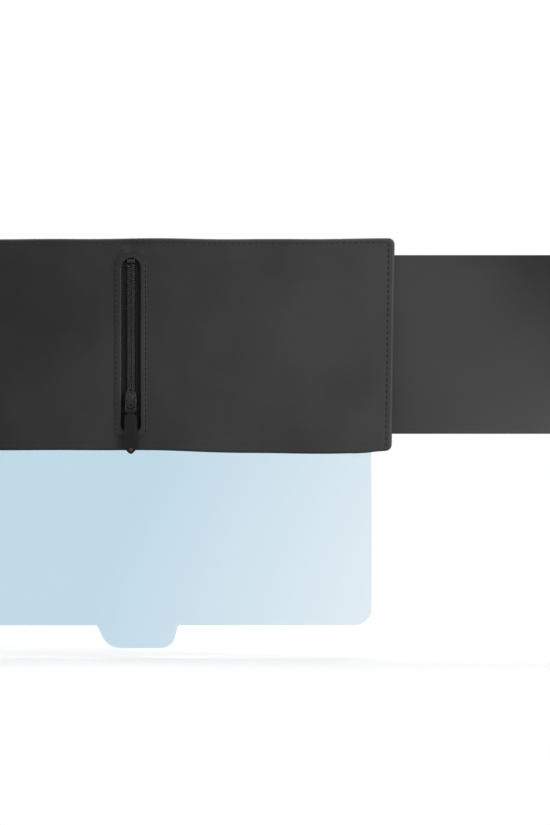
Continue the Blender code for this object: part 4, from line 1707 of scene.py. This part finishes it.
    def threads(self) -> None:
        """The cross-stitched box on the anchor, and the rows that hold the hook pad on."""
        word = self.side.word
        low, high = self.anchor_low, self.anchor_high
        inset = 2.2 * MM
        bm = bmesh.new()
        row = StitchRow(pitch=2.4 * MM, gap=0.5 * MM, thread_r=0.24 * MM)
        for path in self.x_box(low.x + inset, high.x - inset, low.z + inset, high.z - inset):
            row.add(bm, path, high.y, 1)
        dress(object_of(f"anchor_stitching_{word}", bm, 60), Finish.THREAD, "sleeve")
        bm = bmesh.new()
        flap_rear = self.pad_high.y + 0.2 * MM + self.thickness
        inset = 1.6 * MM
        box = (self.pad_low.x + inset, self.pad_high.x - inset, self.pad_low.z + inset, self.pad_high.z - inset)
        row.add(bm, self.x_box(*box)[0], flap_rear - 0.05 * MM, 1)
        dress(object_of(f"flap_stitching_{word}", bm, 60), Finish.THREAD, self.body)


# ---- Pieces inside ----
@dataclass
class InnerPieces:
    """CAD nodes whose shape is right, which only get their finish."""

    finishes: dict[str, Finish] = field(
        default_factory=lambda: {
            "rear_board": Finish.BOARD,
            "middle_board": Finish.BOARD,
            "front_board": Finish.BOARD,
            "pane_rail_left": Finish.BOARD,
            "pane_rail_right": Finish.BOARD,
            "shade_rail_top": Finish.BOARD,
            "shade_rail_bottom": Finish.BOARD,
            "pane_felt": Finish.FELT,
            "shade_felt": Finish.FELT,
            "foam_frame": Finish.FOAM,
            "pocket_lining": Finish.LINING,
        }
    )

    def build(self) -> None:
        """Dresses each node."""
        for node, finish in self.finishes.items():
            piece = frame["nodes"][node]
            piece.data.materials.clear()
            piece.data.materials.append(finish.material())
            LOG.info("%s: %s", node, finish.name.lower())


# ---- Studio ----
@dataclass
class Studio:
    """The camera, soft lamps and a white floor just under the object."""

    aim: tuple[float, float, float] = (0.1131, -0.012, -0.0535)
    distance: float = 3.2
    view_height: float = 0.6482
    floor_z: float = -0.2465
    floor_half: float = 3.0
    floor_fade: tuple[float, float] = (0.55, 0.95)
    floor_glow: tuple[float, float] = (0.37, 0.30)
    floor_grey: float = 0.5
    ambient: float = 0.25

    def camera(self) -> None:
        """Looks straight at the front."""
        data = bpy.data.cameras.new("camera")
        data.sensor_fit = "VERTICAL"
        data.angle = 2 * math.atan(self.view_height / 2 / self.distance)
        made = bpy.data.objects.new("camera", data)
        made.location = Vector(self.aim) + Vector((0, -self.distance, 0))
        made.rotation_euler = (math.radians(90), 0, 0)
        bpy.context.scene.collection.objects.link(made)
        bpy.context.scene.camera = made

    def lamp(self, name: str, place: tuple, size: tuple, power: float, at: tuple = (0.1, 0.0, -0.05)) -> None:
        """An area lamp that faces a point.

        Args:
            name: The lamp's name.
            place: Where it stands.
            size: Its width and height.
            power: Its power in watts.
            at: The point.
        """
        data = bpy.data.lights.new(name, "AREA")
        data.shape = "RECTANGLE"
        data.size, data.size_y = size
        data.energy = power
        made = bpy.data.objects.new(name, data)
        made.location = place
        made.rotation_euler = (Vector(at) - Vector(place)).to_track_quat("-Z", "Y").to_euler()
        bpy.context.scene.collection.objects.link(made)

    def seen_by_eye(self, tree: bpy.types.NodeTree) -> bpy.types.NodeSocket:
        """1 for rays that the eye follows: straight, mirrored or through something clear.

        Args:
            tree: The node tree.

        Returns:
            The output that holds it.
        """
        path = tree.nodes.new("ShaderNodeLightPath")
        total = path.outputs["Is Camera Ray"]
        for name in ("Is Glossy Ray", "Is Transmission Ray"):
            join = tree.nodes.new("ShaderNodeMath")
            join.operation = "MAXIMUM"
            tree.links.new(total, join.inputs[0])
            tree.links.new(path.outputs[name], join.inputs[1])
            total = join.outputs[0]
        return total

    def ranged(
        self, tree: bpy.types.NodeTree, value: bpy.types.NodeSocket, start: Point, end: Point
    ) -> bpy.types.NodeSocket:
        """A value carried smoothly from one range to another.

        Args:
            tree: The node tree.
            value: The value.
            start: The range that it has.
            end: The range that it gets.

        Returns:
            The new value.
        """
        node = tree.nodes.new("ShaderNodeMapRange")
        node.interpolation_type = "SMOOTHSTEP"
        tree.links.new(value, node.inputs["Value"])
        node.inputs["From Min"].default_value, node.inputs["From Max"].default_value = start
        node.inputs["To Min"].default_value, node.inputs["To Max"].default_value = end
        return node.outputs[0]

    def world(self) -> None:
        """White where the eye meets it, and a plain grey light elsewhere."""
        world = bpy.data.worlds.new("studio")
        bpy.context.scene.world = world
        world.use_nodes = True
        tree = world.node_tree
        back = tree.nodes["Background"]
        mix = tree.nodes.new("ShaderNodeMapRange")
        tree.links.new(self.seen_by_eye(tree), mix.inputs["Value"])
        mix.inputs["To Min"].default_value = self.ambient
        mix.inputs["To Max"].default_value = 1.0
        tree.links.new(mix.outputs[0], back.inputs["Strength"])
        back.inputs["Color"].default_value = (1, 1, 1, 1)

    def floor(self) -> None:
        """A white floor that still takes the object's shadow."""
        bm = bmesh.new()
        wide = self.floor_half
        corners = [(-wide, -wide), (wide, -wide), (wide, wide), (-wide, wide)]
        bm.faces.new([bm.verts.new((x, y, self.floor_z)) for x, y in corners])
        mesh = bpy.data.meshes.new("floor")
        bm.to_mesh(mesh)
        bm.free()
        made = bpy.data.objects.new("floor", mesh)
        bpy.context.scene.collection.objects.link(made)
        material = bpy.data.materials.new("floor")
        material.use_nodes = True
        tree = material.node_tree
        tree.nodes.clear()
        out = tree.nodes.new("ShaderNodeOutputMaterial")
        matt = tree.nodes.new("ShaderNodeBsdfDiffuse")
        matt.inputs["Color"].default_value = (self.floor_grey,) * 3 + (1,)
        place = tree.nodes.new("ShaderNodeTexCoord").outputs["Object"]
        axes = tree.nodes.new("ShaderNodeSeparateXYZ")
        tree.links.new(place, axes.inputs[0])
        glow = self.ranged(tree, axes.outputs[0], (-0.1, 0.45), self.floor_glow)
        reach = tree.nodes.new("ShaderNodeVectorMath")
        reach.operation = "DISTANCE"
        tree.links.new(place, reach.inputs[0])
        reach.inputs[1].default_value = (self.aim[0], 0.0, self.floor_z)
        fade = self.ranged(tree, reach.outputs["Value"], self.floor_fade, (0.0, 1.0))
        seen = self.seen_by_eye(tree)
        near, far = (tree.nodes.new("ShaderNodeEmission") for _ in range(2))
        scale = tree.nodes.new("ShaderNodeMath")
        scale.operation = "MULTIPLY"
        tree.links.new(seen, scale.inputs[0])
        tree.links.new(glow, scale.inputs[1])
        tree.links.new(scale.outputs[0], near.inputs["Strength"])
        tree.links.new(seen, far.inputs["Strength"])
        both = tree.nodes.new("ShaderNodeAddShader")
        tree.links.new(matt.outputs[0], both.inputs[0])
        tree.links.new(near.outputs[0], both.inputs[1])
        mix = tree.nodes.new("ShaderNodeMixShader")
        tree.links.new(fade, mix.inputs[0])
        tree.links.new(both.outputs[0], mix.inputs[1])
        tree.links.new(far.outputs[0], mix.inputs[2])
        tree.links.new(mix.outputs[0], out.inputs["Surface"])
        mesh.materials.append(material)

    def build(self) -> None:
        """Builds the studio."""
        self.camera()
        self.world()
        self.floor()
        self.lamp("key", (2.0, -1.15, 0.7), (1.0, 1.3), 58.0)
        self.lamp("top", (-0.1, 0.3, 1.7), (3.0, 1.1), 44.0)
        self.lamp("fill", (-1.6, -1.8, 0.1), (1.2, 1.2), 7.0)
        self.lamp("back", (-0.4, 2.2, 0.7), (1.8, 1.2), 12.0)
        bpy.context.scene.view_settings.view_transform = "Standard"


def main() -> None:
    """Builds everything in order."""
    logging.basicConfig(level=logging.INFO, format="%(name)s: %(message)s")
    for part in (Studio(), Sleeve(), GripPad(), Zip(), SliderAndPull(), Panels()):
        part.build()
    for side in Side:
        Strap(side).build()
    InnerPieces().build()


if __name__ == "__main__":
    main()
